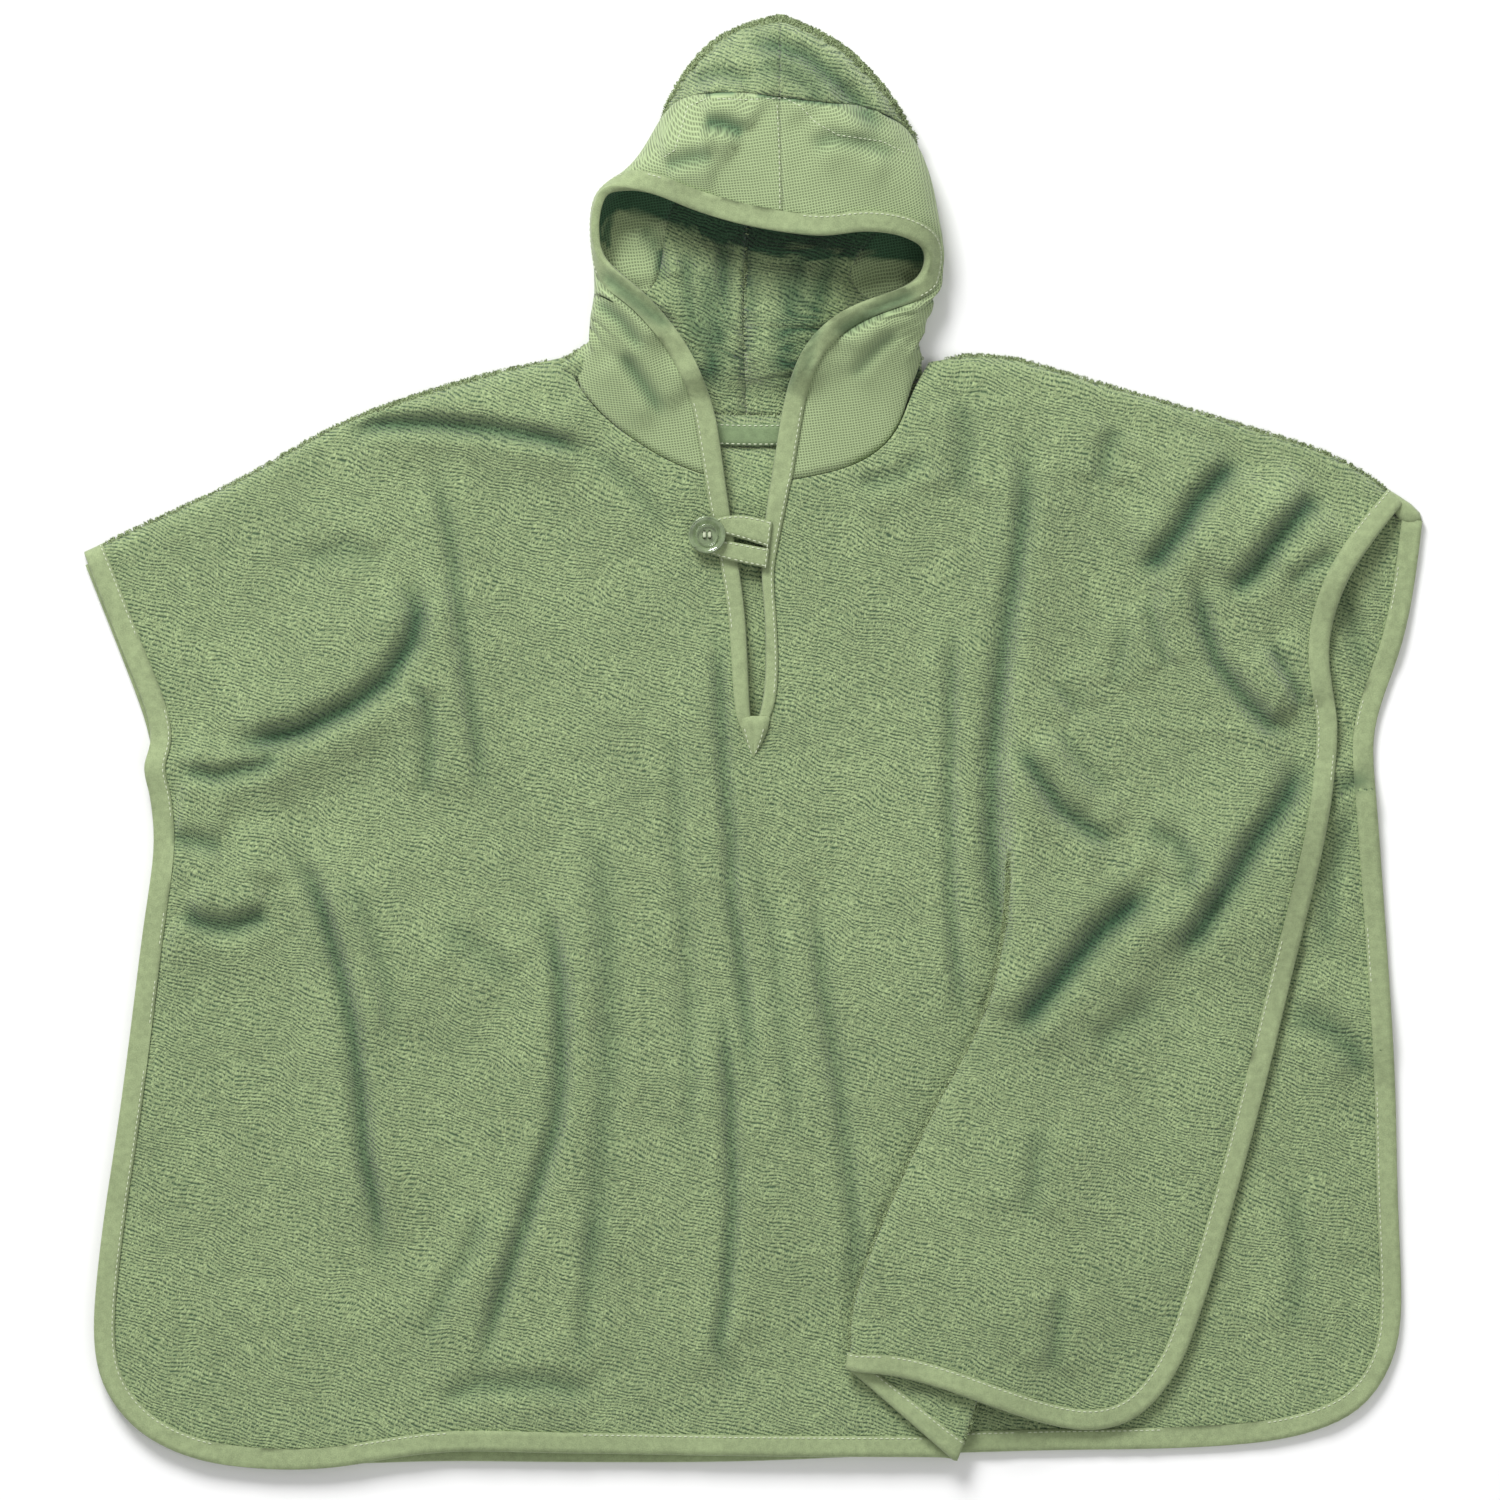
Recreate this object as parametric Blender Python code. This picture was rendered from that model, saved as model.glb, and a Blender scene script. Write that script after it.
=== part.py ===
"""Surf poncho in cotton terry, laid flat on its back on a table.

The back lies on the table, the front lies on the back and is folded over itself in one
S pleat at the lower right, and the hood stands open above its own flat back layer.
Run with: blender --background --python part.py
X runs to the right of the picture, Y towards the hood, Z up from the table.
All sizes and tables are in millimetres; points become metres when a mesh is written.
"""

import math
from collections import namedtuple

import bpy
from mathutils import Vector

MM = 0.001
CENTRE = Vector((0.72, 0.91, 0.0))       # middle of the garment's box, mm

# ---------------------------------------------------------------------------
# Driving sizes, mm
# ---------------------------------------------------------------------------
TERRY = 3.0                 # cloth thickness, loops included
WAFFLE = 1.8
TAPE = 1.0                  # one layer of the binding tape
TAPE_WIDTH = 10.5           # finished width of the binding
EDGE_IN_TAPE = 1.4          # a cloth edge pressed flat inside the binding
GAP = 0.3                   # clearance between two pieces at a seam
PRESSED_SEAM = 1.8          # terry where three seams meet at the side of the neck
TAPE_HALF = EDGE_IN_TAPE / 2 + GAP + TAPE      # half the finished binding's height

# Distances from a bound edge: cloth edge, end of the tape, full cloth thickness
EDGE_INSET = TAPE + GAP
TAPE_END = TAPE_WIDTH + 0.4
FULL_CLOTH = TAPE_WIDTH + 3.0

BACK_MID = TERRY / 2        # height of the back's middle surface above the table
BACK_EDGE_MID = TAPE_HALF
FRONT_MID = 6.4             # front's middle surface over the back's binding
FLAP_MID = 5.5              # the same where the front lies on the back's plain cloth
EDGE_MID = 5.95             # least height of the front one strip in from its binding
FRONT_FLOOR = 4.9           # the front's middle surface never sinks below this
NECK_MID = 9.0              # front neckline, where the hood is joined

SHOULDER_CLEAR = 5.0        # the back's top edge lies this far inside the rolled shoulder
BACK_TAPE_CLEAR = 6.8
TURN_ARC = 8.2              # cloth in one turn of the pleat
MIDDLE_STRIP = 3.0          # least width of the pleat's middle layer

# ---------------------------------------------------------------------------
# Outlines, mm
# ---------------------------------------------------------------------------
Place = namedtuple("Place", "x y")

FRONT_LEFT_EDGE = [Place(*row) for row in (
    (-334.0, 96.0), (-319.5, 59.0), (-307.0, 27.0), (-298.5, 4.0), (-303.0, -4.0),
    (-298.0, -38.0), (-304.5, -92.0), (-315.0, -176.0), (-327.0, -262.0),
    (-329.5, -299.0), (-325.0, -322.0), (-313.0, -338.0))]
FRONT_HEM = [Place(*row) for row in (
    (-313.0, -338.0), (-299.0, -348.5), (-277.0, -357.5), (-250.0, -361.5),
    (-206.0, -361.0), (-186.0, -357.5), (-162.0, -354.0), (-96.0, -354.0),
    (0.0, -355.5), (99.0, -356.0))]
FLAP_HEM = [Place(*row) for row in (
    (50.0, -312.5), (72.0, -315.0), (98.0, -322.5), (129.5, -334.0), (155.0, -341.5),
    (176.0, -343.0), (190.0, -338.5), (201.5, -329.5))]
FRONT_RIGHT_EDGE = [Place(*row) for row in (
    (326.0, 121.5), (311.0, 103.0), (293.0, 73.0), (287.5, 48.0), (292.5, 14.0),
    (292.0, -9.5), (271.5, -108.0), (244.5, -216.0), (224.5, -283.0),
    (215.0, -310.0), (201.5, -329.5))]
LEFT_SHOULDER = [Place(*row) for row in (
    (-334.0, 96.0), (-296.5, 113.5), (-256.5, 132.0), (-208.5, 159.5), (-161.0, 177.0),
    (-126.0, 187.0), (-93.0, 194.0))]
RIGHT_SHOULDER = [Place(*row) for row in (
    (88.0, 191.5), (106.0, 194.5), (134.0, 192.5), (164.0, 183.5), (209.0, 170.5),
    (254.0, 157.0), (299.0, 141.0), (326.0, 121.5))]
LEFT_NECKLINE = [Place(*row) for row in (
    (-93.0, 194.0), (-90.0, 184.0), (-82.0, 171.5), (-69.0, 159.5), (-56.0, 150.5),
    (-42.5, 142.0), (-27.0, 136.0), (-13.5, 134.0))]
RIGHT_NECKLINE = [Place(*row) for row in (
    (88.0, 191.5), (80.0, 177.5), (74.0, 157.5), (64.5, 146.5), (51.5, 139.5),
    (31.0, 134.5), (19.0, 132.5), (9.5, 132.0))]
BACK_NECKLINE = [Place(*row) for row in (
    (-90.5, 186.0), (-76.0, 177.0), (-46.0, 169.0), (-3.0, 165.0), (48.0, 169.0),
    (72.0, 176.5), (85.5, 184.0))]
BACK_LEFT_EDGE = [Place(*row) for row in (
    (-335.5, 95.5), (-321.0, 59.0), (-308.5, 27.0), (-300.5, 4.0), (-299.0, -8.0),
    (-296.0, -38.0), (-302.0, -92.0), (-312.0, -176.0), (-323.5, -262.0),
    (-326.0, -299.0), (-321.5, -320.0), (-310.0, -335.0))]
BACK_HEM = [Place(*row) for row in (
    (-310.0, -335.0), (-297.0, -345.0), (-276.0, -353.5), (-250.0, -358.5),
    (-206.0, -359.5), (-162.0, -358.0), (-96.0, -358.5), (0.0, -358.0),
    (70.0, -355.0), (151.0, -352.5), (224.5, -351.0), (270.0, -346.5),
    (294.0, -339.0), (309.0, -330.0))]
BACK_RIGHT_EDGE = [Place(*row) for row in (
    (335.5, 114.0), (333.0, 92.5), (326.5, 52.5), (316.0, 26.0), (309.5, 6.0),
    (311.5, -16.0), (317.0, -95.0), (322.0, -167.0), (323.0, -247.5),
    (325.5, -287.0), (321.0, -314.0), (309.0, -330.0))]

# The slit down the front: where its two cut edges lie and how wide the tape shows
SlitRow = namedtuple("SlitRow", "y left right tape_left tape_right")
SLIT = [SlitRow(*row) for row in (
    (134.0, -13.5, 9.5, 10.5, 10.5),
    (113.0, -10.5, 6.5, 9.5, 9.0),
    (86.0, -6.0, 4.2, 9.0, 6.0),
    (68.0, -3.5, 6.3, 8.5, 5.5),
    (48.0, -2.3, 7.0, 8.2, 6.0),
    (28.0, -1.5, 6.5, 8.0, 6.5),
    (15.0, -0.8, 4.0, 7.5, 6.0),
    (8.5, 0.1, 0.7, 5.5, 5.0),
    (2.0, 0.1, 0.7, 3.0, 3.0))]
SLIT_FOOT_Y = -3.5
SLIT_ROWS = (113.0, 99.0, 86.0, 68.0, 48.0, 28.0, 15.0, 8.5, 2.0)

# The S pleat. down: share of the way from the shoulder to the hem. a_x, a_y: where the
# lower layer turns. run: width of the middle layer. heading: direction of the rows
# there. turn: how far the cloth turns, 180 when the layers lie on each other.
PleatRow = namedtuple("PleatRow", "down a_x a_y run heading turn")
PLEAT = [PleatRow(*row) for row in (
    (0.00, 104.0, 187.0, 14.0, -6.0, 0.0),
    (0.10, 112.0, 130.0, 10.0, -3.0, 8.0),
    (0.26, 118.0, 40.0, 6.0, 0.0, 20.0),
    (0.38, 121.0, -35.0, MIDDLE_STRIP, -6.0, 38.0),
    (0.46, 122.5, -78.0, MIDDLE_STRIP, -14.0, 75.0),
    (0.52, 124.0, -105.0, MIDDLE_STRIP, -20.0, 125.0),
    (0.57, 127.0, -130.0, 5.0, -22.0, 175.0),
    (0.63, 131.0, -160.0, 20.0, -22.0, 180.0),
    (0.70, 133.0, -195.0, 40.0, -22.0, 180.0),
    (0.78, 131.0, -235.0, 55.0, -23.0, 180.0),
    (0.87, 124.0, -278.0, 66.0, -26.0, 180.0),
    (0.95, 112.0, -318.0, 69.0, -31.0, 180.0),
    (1.00, 104.0, -343.0, 66.0, -38.0, 180.0))]
PLEAT_HEM = PleatRow(1.03, 99.0, -356.0, 65.0, -41.0, 180.0)

# Folds of the front. route: points along the fold. width: half width of the trough
# or ridge. rise: its height, below zero for a trough.
Fold = namedtuple("Fold", "name route width rise")
FRONT_FOLDS = (
    Fold("shoulder_crease", ((-205, 152), (-165, 161), (-110, 160), (-72, 143)), 9, -4),
    Fold("shoulder_ridge", ((-200, 166), (-150, 172), (-105, 171)), 10, 2.5),
    Fold("underarm_ridge", ((-182, 84), (-200, 54), (-232, 32), (-270, 18)), 15, 8),
    Fold("underarm_trough", ((-166, 80), (-178, 46), (-205, 18), (-262, -2)), 9, -5),
    Fold("side_pucker", ((-292, -68), (-264, -70), (-244, -60)), 11, 7),
    Fold("side_pucker_above", ((-296, -52), (-270, -46)), 7, -3),
    Fold("side_pucker_below", ((-280, -80), (-260, -92), (-240, -84)), 8, -4),
    Fold("armhole_to_chest", ((-151, 110), (-141, 37), (-132, -44)), 9, -3.5),
    Fold("left_long_trough", ((-234, -46), (-207, -110), (-196, -190), (-182, -262)), 10, -4),
    Fold("left_long_ridge", ((-214, -36), (-188, -110), (-177, -190), (-165, -250)), 14, 6),
    Fold("left_inner_trough", ((-110, -70), (-95, -140), (-100, -205), (-132, -297),
                               (-148, -335)), 11, -4.5),
    Fold("left_inner_ridge", ((-92, -60), (-74, -150), (-80, -220), (-112, -310)), 14, 5),
    Fold("left_side_ridge", ((-132, -90), (-120, -160), (-128, -230), (-160, -320)), 15, 4),
    Fold("chest_left", ((-38, 20), (-36, -58), (-31, -150)), 9, -2.5),
    Fold("centre_trough", ((-17, -8), (-9, -70), (-4, -144), (-12, -249), (-17, -335)), 9, -4),
    Fold("centre_ridge", ((4, -30), (8, -110), (16, -190), (8, -300)), 13, 5.5),
    Fold("centre_left_ridge", ((-36, -150), (-38, -240), (-44, -330)), 14, 4),
    Fold("right_of_centre", ((32, -44), (40, -115), (50, -180), (46, -250)), 9, -4),
    Fold("beside_pleat", ((66, -30), (72, -120), (76, -200)), 14, 4),
    Fold("chest_right", ((100, 60), (97, -40), (104, -120)), 8, -3),
    Fold("right_chest_trough", ((136, 165), (135, 115), (126, 50), (121, -40)), 10, -4),
    Fold("right_chest_ridge", ((152, 150), (152, 100), (143, 40)), 14, 4.5),
    Fold("below_arm_trough", ((134, 2), (151, -29), (184, -52)), 9, -5),
    Fold("below_arm_ridge", ((150, 2), (172, -22), (205, -38)), 13, 6),
    Fold("diagonal_trough", ((140, -136), (160, -112), (184, -88), (212, -52)), 10, -6),
    Fold("diagonal_ridge", ((152, -84), (178, -66), (196, -52)), 13, 5),
    Fold("diagonal_ridge_low", ((166, -134), (200, -106), (228, -74), (246, -40)), 14, 7),
    Fold("side_trough", ((272, -12), (251, -53), (222, -96), (190, -132)), 11, -6),
    Fold("side_ridge", ((282, -40), (262, -84), (240, -122)), 13, 5),
    Fold("arm_trough", ((254, 138), (227, 122), (203, 95), (188, 58)), 10, -5.5),
    Fold("arm_ridge", ((272, 126), (246, 104), (222, 72)), 12, 7),
    Fold("arm_trough_outer", ((292, 124), (268, 101), (236, 68)), 9, -6),
    Fold("arm_lower_trough", ((222, 88), (230, 50), (248, 22), (276, 4)), 9, -5.5),
    Fold("arm_lower_ridge", ((242, 64), (256, 36), (274, 20)), 12, 6),
    Fold("arm_edge_crease", ((256, 62), (280, 18)), 7, -4),
    Fold("arm_edge_lift", ((318, 112), (300, 90), (284, 62)), 16, 7),
    Fold("flap_ridge", ((172, -170), (176, -240), (178, -300)), 20, 6),
    Fold("flap_trough", ((156, -262), (150, -312)), 10, -3),
    Fold("flap_side_ridge", ((226, -150), (214, -220), (200, -280)), 16, 4),
)
BACK_FOLDS = (
    Fold("side_curve", ((280, -120), (302, -138), (316, -160)), 15, 2.5),
    Fold("beside_front_edge", ((286, -130), (272, -210), (250, -290)), 13, 2.5),
)

# Hood sections, from the slit's left edge over the top to its right edge. rim: on the
# face opening. crest: highest line of the upper layer. edge: the hood's side as seen
# from above. spine: share of the way from the neck to the crown along the centre back.
# band: width of the waffle band, measured from the rim.
HoodRow = namedtuple("HoodRow", "rim crest edge spine band")
HOOD = (
    HoodRow((-18.0, 165.0, 10), (-50.0, 178.0, 13), (-83.0, 200.0, 9), 0.10, 80),
    HoodRow((-30.0, 196.5, 13), (-56.0, 198.0, 18), (-80.5, 209.0, 11), 0.20, 66),
    HoodRow((-53.5, 226.0, 17), (-67.0, 217.0, 19), (-79.5, 219.0, 11), 0.29, 58),
    HoodRow((-73.5, 241.5, 20), (-77.5, 236.0, 16), (-77.0, 233.5, 10), 0.38, 52),
    HoodRow((-78.5, 258.0, 22), (-79.8, 256.0, 17), (-79.5, 255.5, 10), 0.47, 55),
    HoodRow((-75.0, 274.5, 25), (-77.5, 275.5, 21), (-76.5, 274.0, 10), 0.55, 60),
    HoodRow((-66.5, 277.5, 28), (-64.5, 283.0, 27), (-63.0, 285.0, 11), 0.63, 60),
    HoodRow((-47.5, 274.5, 31), (-47.0, 291.0, 32), (-52.0, 301.0, 12), 0.71, 56),
    HoodRow((-30.0, 267.0, 35), (-35.0, 303.0, 35), (-39.0, 324.0, 13), 0.80, 60),
    HoodRow((-6.0, 259.5, 39), (-11.0, 312.0, 37), (-18.0, 352.0, 13), 0.91, 68),
)
HOOD_TOP = HoodRow((16.0, 255.5, 41), (14.0, 315.0, 37), (14.0, 363.0, 11), 1.00, 68)
HOOD_RIGHT = (
    HoodRow((15.0, 167.5, 10), (48.0, 177.0, 13), (83.0, 198.0, 9), 0.10, 80),
    HoodRow((24.0, 196.5, 13), (54.0, 196.0, 17), (86.0, 207.0, 10), 0.20, 74),
    HoodRow((44.5, 217.0, 16), (66.0, 208.5, 20), (88.5, 213.5, 11), 0.28, 73),
    HoodRow((73.0, 227.5, 18), (83.5, 222.0, 18), (91.0, 225.0, 10), 0.35, 70),
    HoodRow((85.5, 235.5, 20), (90.5, 233.0, 18), (93.0, 234.5, 11), 0.42, 66),
    HoodRow((87.0, 246.0, 25), (92.0, 248.0, 22), (94.5, 249.0, 12), 0.51, 62),
    HoodRow((80.0, 251.5, 29), (87.5, 266.0, 28), (92.5, 267.0, 13), 0.60, 63),
    HoodRow((69.5, 255.0, 33), (77.0, 288.0, 31), (87.5, 290.0, 13), 0.70, 66),
    HoodRow((53.5, 256.0, 37), (59.0, 301.0, 34), (71.5, 319.0, 13), 0.80, 67),
    HoodRow((36.0, 253.5, 40), (36.0, 310.0, 36), (46.0, 348.0, 13), 0.91, 68),
)
SPINE = [Place(*row) for row in (
    (-3.0, 165.0), (-4.0, 205.0), (-3.0, 255.0), (3.0, 305.0), (12.5, 350.0))]

BUTTON_AT = Place(-22.5, 105.0)
BUTTON_RADIUS = 9.5
BUTTON_THICK = 3.4

# Rows of the back: shares of the way from the shoulder to the hem
BACK_DOWNS = (0.0, 0.07, 0.14, 0.2, 0.25, 0.31, 0.4, 0.52, 0.64, 0.76, 0.86, 0.93, 1.0)

# Mesh density
SHOULDER_COLUMNS = 10
SHOULDER_TO_PLEAT_COLUMNS = 1
FLAP_COLUMNS = 9
BODY_ROWS = 14
TURN_STEPS = 3
MIDDLE_STEPS = 2
BACK_SHOULDER_COLUMNS = 6
BAND_COLUMNS = 5
CROWN_COLUMNS = 9
HOOD_ROWS_PER_SECTION = 2


# ---------------------------------------------------------------------------
# Curves and small helpers
# ---------------------------------------------------------------------------
def vec(place, z=0.0):
    return Vector((place[0], place[1], place[2] if len(place) > 2 else z))


def mix(a, b, share):
    return a + (b - a) * share


def smooth_step(low, high, value):
    share = min(1.0, max(0.0, (value - low) / (high - low)))
    return share * share * (3.0 - 2.0 * share)


def flat_distance(a, b):
    return math.hypot(a[0] - b[0], a[1] - b[1])


class Curve:
    """A smooth curve through points, read by distance or by share of its length."""

    SAMPLES = 14

    def __init__(self, points, smooth=True):
        points = [vec(point) for point in points]
        steps = [max((b - a).length, 1e-6) for a, b in zip(points, points[1:])]
        slopes = []
        for index in range(len(points)):
            before = (points[index] - points[index - 1]) / steps[index - 1] if index else None
            after = ((points[index + 1] - points[index]) / steps[index]
                     if index < len(steps) else None)
            if before is None or after is None:
                slopes.append(after if before is None else before)
            else:
                share = steps[index - 1] / (steps[index - 1] + steps[index])
                slopes.append(mix(before, after, share))
        self.points = [points[0]]
        for index, step in enumerate(steps):
            for sample in range(1, self.SAMPLES + 1):
                t = sample / self.SAMPLES
                if not smooth:
                    self.points.append(mix(points[index], points[index + 1], t))
                    continue
                t2, t3 = t * t, t * t * t
                self.points.append(
                    points[index] * (2 * t3 - 3 * t2 + 1)
                    + slopes[index] * step * (t3 - 2 * t2 + t)
                    + points[index + 1] * (3 * t2 - 2 * t3)
                    + slopes[index + 1] * step * (t3 - t2))
        self.marks = [0.0]
        for a, b in zip(self.points, self.points[1:]):
            self.marks.append(self.marks[-1] + (b - a).length)
        self.length = self.marks[-1]

    def at(self, distance):
        """The point this far along, carried on straight beyond either end."""
        marks, points = self.marks, self.points
        low, high = 0, len(marks) - 2
        while low < high:
            middle = (low + high + 1) // 2
            if marks[middle] <= distance:
                low = middle
            else:
                high = middle - 1
        span = max(marks[low + 1] - marks[low], 1e-9)
        return mix(points[low], points[low + 1], (distance - marks[low]) / span)

    def share(self, share):
        return self.at(share * self.length)

    def tangent(self, distance, reach=6.0):
        low = max(0.0, distance - reach)
        high = min(self.length, distance + reach)
        return (self.at(high) - self.at(low)).normalized()


def table_value(rows, key, column, value):
    """A column of a table read between its rows, which are ordered by key."""
    keys = [getattr(row, key) for row in rows]
    if keys[0] > keys[-1]:
        rows, keys = rows[::-1], keys[::-1]
    if value <= keys[0]:
        return getattr(rows[0], column)
    for index in range(len(keys) - 1):
        if value <= keys[index + 1]:
            share = (value - keys[index]) / (keys[index + 1] - keys[index])
            return mix(getattr(rows[index], column), getattr(rows[index + 1], column), share)
    return getattr(rows[-1], column)


def left_of(direction):
    """The flat unit vector a quarter turn to the left of a direction."""
    return Vector((-direction.y, direction.x, 0.0)).normalized()


# ---------------------------------------------------------------------------
# A cloth piece: middle surface, half thickness, faces
# ---------------------------------------------------------------------------
class Cloth:
    """Points of a middle surface, thickened into one closed solid."""

    def __init__(self, name):
        self.name = name
        self.index = {}
        self.points = []
        self.half = []
        self.fixed = []
        self.faces = []

    def add(self, key, point, half, normal=None):
        self.index[key] = len(self.points)
        self.points.append(Vector(point))
        self.half.append(half)
        self.fixed.append(normal)
        return key

    def face(self, *keys):
        corners = []
        for key in keys:
            index = self.index[key]
            if index not in corners:
                corners.append(index)
        if len(corners) > 2:
            self.faces.append(corners)

    def normals(self):
        total = [Vector((0.0, 0.0, 0.0)) for _ in self.points]
        for corners in self.faces:
            middle = sum((self.points[i] for i in corners), Vector()) / len(corners)
            area = Vector((0.0, 0.0, 0.0))
            for a, b in zip(corners, corners[1:] + corners[:1]):
                area += (self.points[a] - middle).cross(self.points[b] - middle)
            for i in corners:
                total[i] += area
        return [fixed if fixed is not None else normal.normalized()
                for fixed, normal in zip(self.fixed, total)]

    def solid(self, material):
        count = len(self.points)
        normals = self.normals()
        upper = [p + n * h for p, n, h in zip(self.points, normals, self.half)]
        lower = [p - n * h for p, n, h in zip(self.points, normals, self.half)]
        faces = [list(corners) for corners in self.faces]
        faces += [[i + count for i in reversed(corners)] for corners in self.faces]
        edges = {}
        for corners in self.faces:
            for a, b in zip(corners, corners[1:] + corners[:1]):
                edges[(a, b)] = edges.get((a, b), 0) + 1
        for a, b in edges:
            if (b, a) not in edges:
                faces.append([b, a, a + count, b + count])
        return make_object(self.name, upper + lower, faces, material)


def make_object(name, points, faces, material, smooth=True):
    mesh = bpy.data.meshes.new(name)
    mesh.from_pydata([tuple((point - CENTRE) * MM) for point in points], [], faces)
    mesh.validate()
    mesh.update()
    if smooth:
        mesh.shade_smooth()
        mesh.set_sharp_from_angle(angle=math.radians(50))
    mesh.materials.append(material)
    piece = bpy.data.objects.new(name, mesh)
    bpy.context.scene.collection.objects.link(piece)
    return piece


def make_material(name, colour, roughness, metallic=0.0):
    material = bpy.data.materials.new(name)
    material.use_nodes = True
    shader = material.node_tree.nodes["Principled BSDF"]
    shader.inputs["Base Color"].default_value = (*colour, 1.0)
    shader.inputs["Roughness"].default_value = roughness
    shader.inputs["Metallic"].default_value = metallic
    return material


def tape_section(width, half=TAPE_HALF):
    """Outline of a tape folded round an edge: (distance in from the edge, height)."""
    channel = half - TAPE
    return ((width, half), (TAPE / 2, half), (0.0, channel), (0.0, -channel),
            (TAPE / 2, -half), (width, -half), (width, -channel), (TAPE, -channel),
            (TAPE, channel), (width, channel))


# Sides of that outline that lie along the cloth, by which of their ends comes first. Both
# are split on the line from the outer end to the next station's inner end, as the cloth is.
INNER_FIRST = (0, 6)
OUTER_FIRST = (4, 8)


# A place on a bound edge: point on the fold of the tape, direction into the cloth,
# upward direction, and the tape's width there.
EdgeStation = namedtuple("EdgeStation", "point inward normal width")


def binding(name, stations, material):
    """One tape folded round the edge that the stations follow."""
    points, faces = [], []
    size = 0
    for station in stations:
        section = tape_section(station.width)
        size = len(section)
        points += [station.point + station.inward * along + station.normal * height
                   for along, height in section]
    for row in range(len(stations) - 1):
        for side in range(size):
            a = row * size + side
            b = row * size + (side + 1) % size
            if side in INNER_FIRST:
                faces += [[a, b, a + size], [b, b + size, a + size]]
            elif side in OUTER_FIRST:
                faces += [[a, b, b + size], [a, b + size, a + size]]
            else:
                faces.append([a, b, b + size, a + size])
    for start, flip in ((0, True), ((len(stations) - 1) * size, False)):
        for cap in ((0, 1, 8, 9), (1, 2, 3, 4, 7, 8), (4, 5, 6, 7)):
            corners = [start + i for i in cap]
            faces.append(corners[::-1] if flip else corners)
    piece = make_object(name, points, faces, material)
    face_outward(piece)
    return piece


def face_outward(piece):
    """Turn the faces over if the body's volume comes out below zero."""
    mesh = piece.data
    mesh.calc_loop_triangles()
    volume = 0.0
    for triangle in mesh.loop_triangles:
        a, b, c = (mesh.vertices[i].co for i in triangle.vertices)
        volume += a.dot(b.cross(c))
    if volume < 0.0:
        mesh.flip_normals()


# ---------------------------------------------------------------------------
# Folds
# ---------------------------------------------------------------------------
FOLD_FADE = 0.16        # share of a fold's length over which each end fades away


def fold_height(folds, x, y):
    """Height that the folds add at a place, mm."""
    total = 0.0
    for fold in folds:
        reach = 2.6 * fold.width
        xs = [point[0] for point in fold.route]
        ys = [point[1] for point in fold.route]
        if not (min(xs) - reach < x < max(xs) + reach):
            continue
        if not (min(ys) - reach < y < max(ys) + reach):
            continue
        lengths = [flat_distance(a, b) for a, b in zip(fold.route, fold.route[1:])]
        whole = sum(lengths)
        best = None
        gone = 0.0
        for (a, b), length in zip(zip(fold.route, fold.route[1:]), lengths):
            share = ((x - a[0]) * (b[0] - a[0]) + (y - a[1]) * (b[1] - a[1])) / length ** 2
            share = min(1.0, max(0.0, share))
            off = math.hypot(x - mix(a[0], b[0], share), y - mix(a[1], b[1], share))
            if best is None or off < best[0]:
                best = (off, (gone + share * length) / whole)
            gone += length
        off, along = best
        ends = smooth_step(-0.05, FOLD_FADE, along) * smooth_step(-0.05, FOLD_FADE, 1 - along)
        total += fold.rise * ends * math.exp(-(off / fold.width) ** 2)
    return total


def soft_floor(value, floor, softness=1.2):
    """The value, eased so that it never goes below the floor."""
    return floor + softness * math.log1p(math.exp((value - floor) / softness))


def back_relief(x, y):
    """What the folds of the back lift, there and in the front lying on it."""
    return max(0.0, fold_height(BACK_FOLDS, x, y))


TUCK_AT = Place(-303.0, -1.0)     # where the lower part overlaps the upper at the side
TUCK_LENGTH = 45.0
TUCK_RISE = 5.0


def front_relief(x, y):
    height = fold_height(FRONT_FOLDS, x, y) + back_relief(x, y)
    beside = 1.0 - smooth_step(0.0, TUCK_LENGTH, x - TUCK_AT.x - 8.0)
    below = smooth_step(-1.5, 3.5, TUCK_AT.y - y) * (1.0 - smooth_step(3.5, 40.0, TUCK_AT.y - y))
    return height + TUCK_RISE * beside * below


def neck_rise(x, y):
    """Extra height beside the neckline, where the hood lifts the front."""
    off = min(flat_distance((x, y), point) for point in NECK_CURVE_POINTS)
    return (NECK_MID - FRONT_MID) * math.exp(-(off / 30.0) ** 2)


NECK_CURVE_POINTS = ([Curve(LEFT_NECKLINE).share(s / 8) for s in range(2, 9)]
                     + [Curve(RIGHT_NECKLINE).share(s / 8) for s in range(2, 9)])


def front_height(x, y):
    """Middle surface of the front where it lies straight on the back."""
    return soft_floor(FRONT_MID + front_relief(x, y) + neck_rise(x, y),
                      FRONT_FLOOR + back_relief(x, y), 0.8)


def front_edge_height(x, y):
    """The same on the bound edge, which lies on the back's binding."""
    return max(front_height(x, y), FRONT_MID)


# ---------------------------------------------------------------------------
# Pleat
# ---------------------------------------------------------------------------
def pleat_row(down):
    return PleatRow(down, *(table_value(PLEAT, "down", column, down)
                            for column in ("a_x", "a_y", "run", "heading", "turn")))


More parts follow.
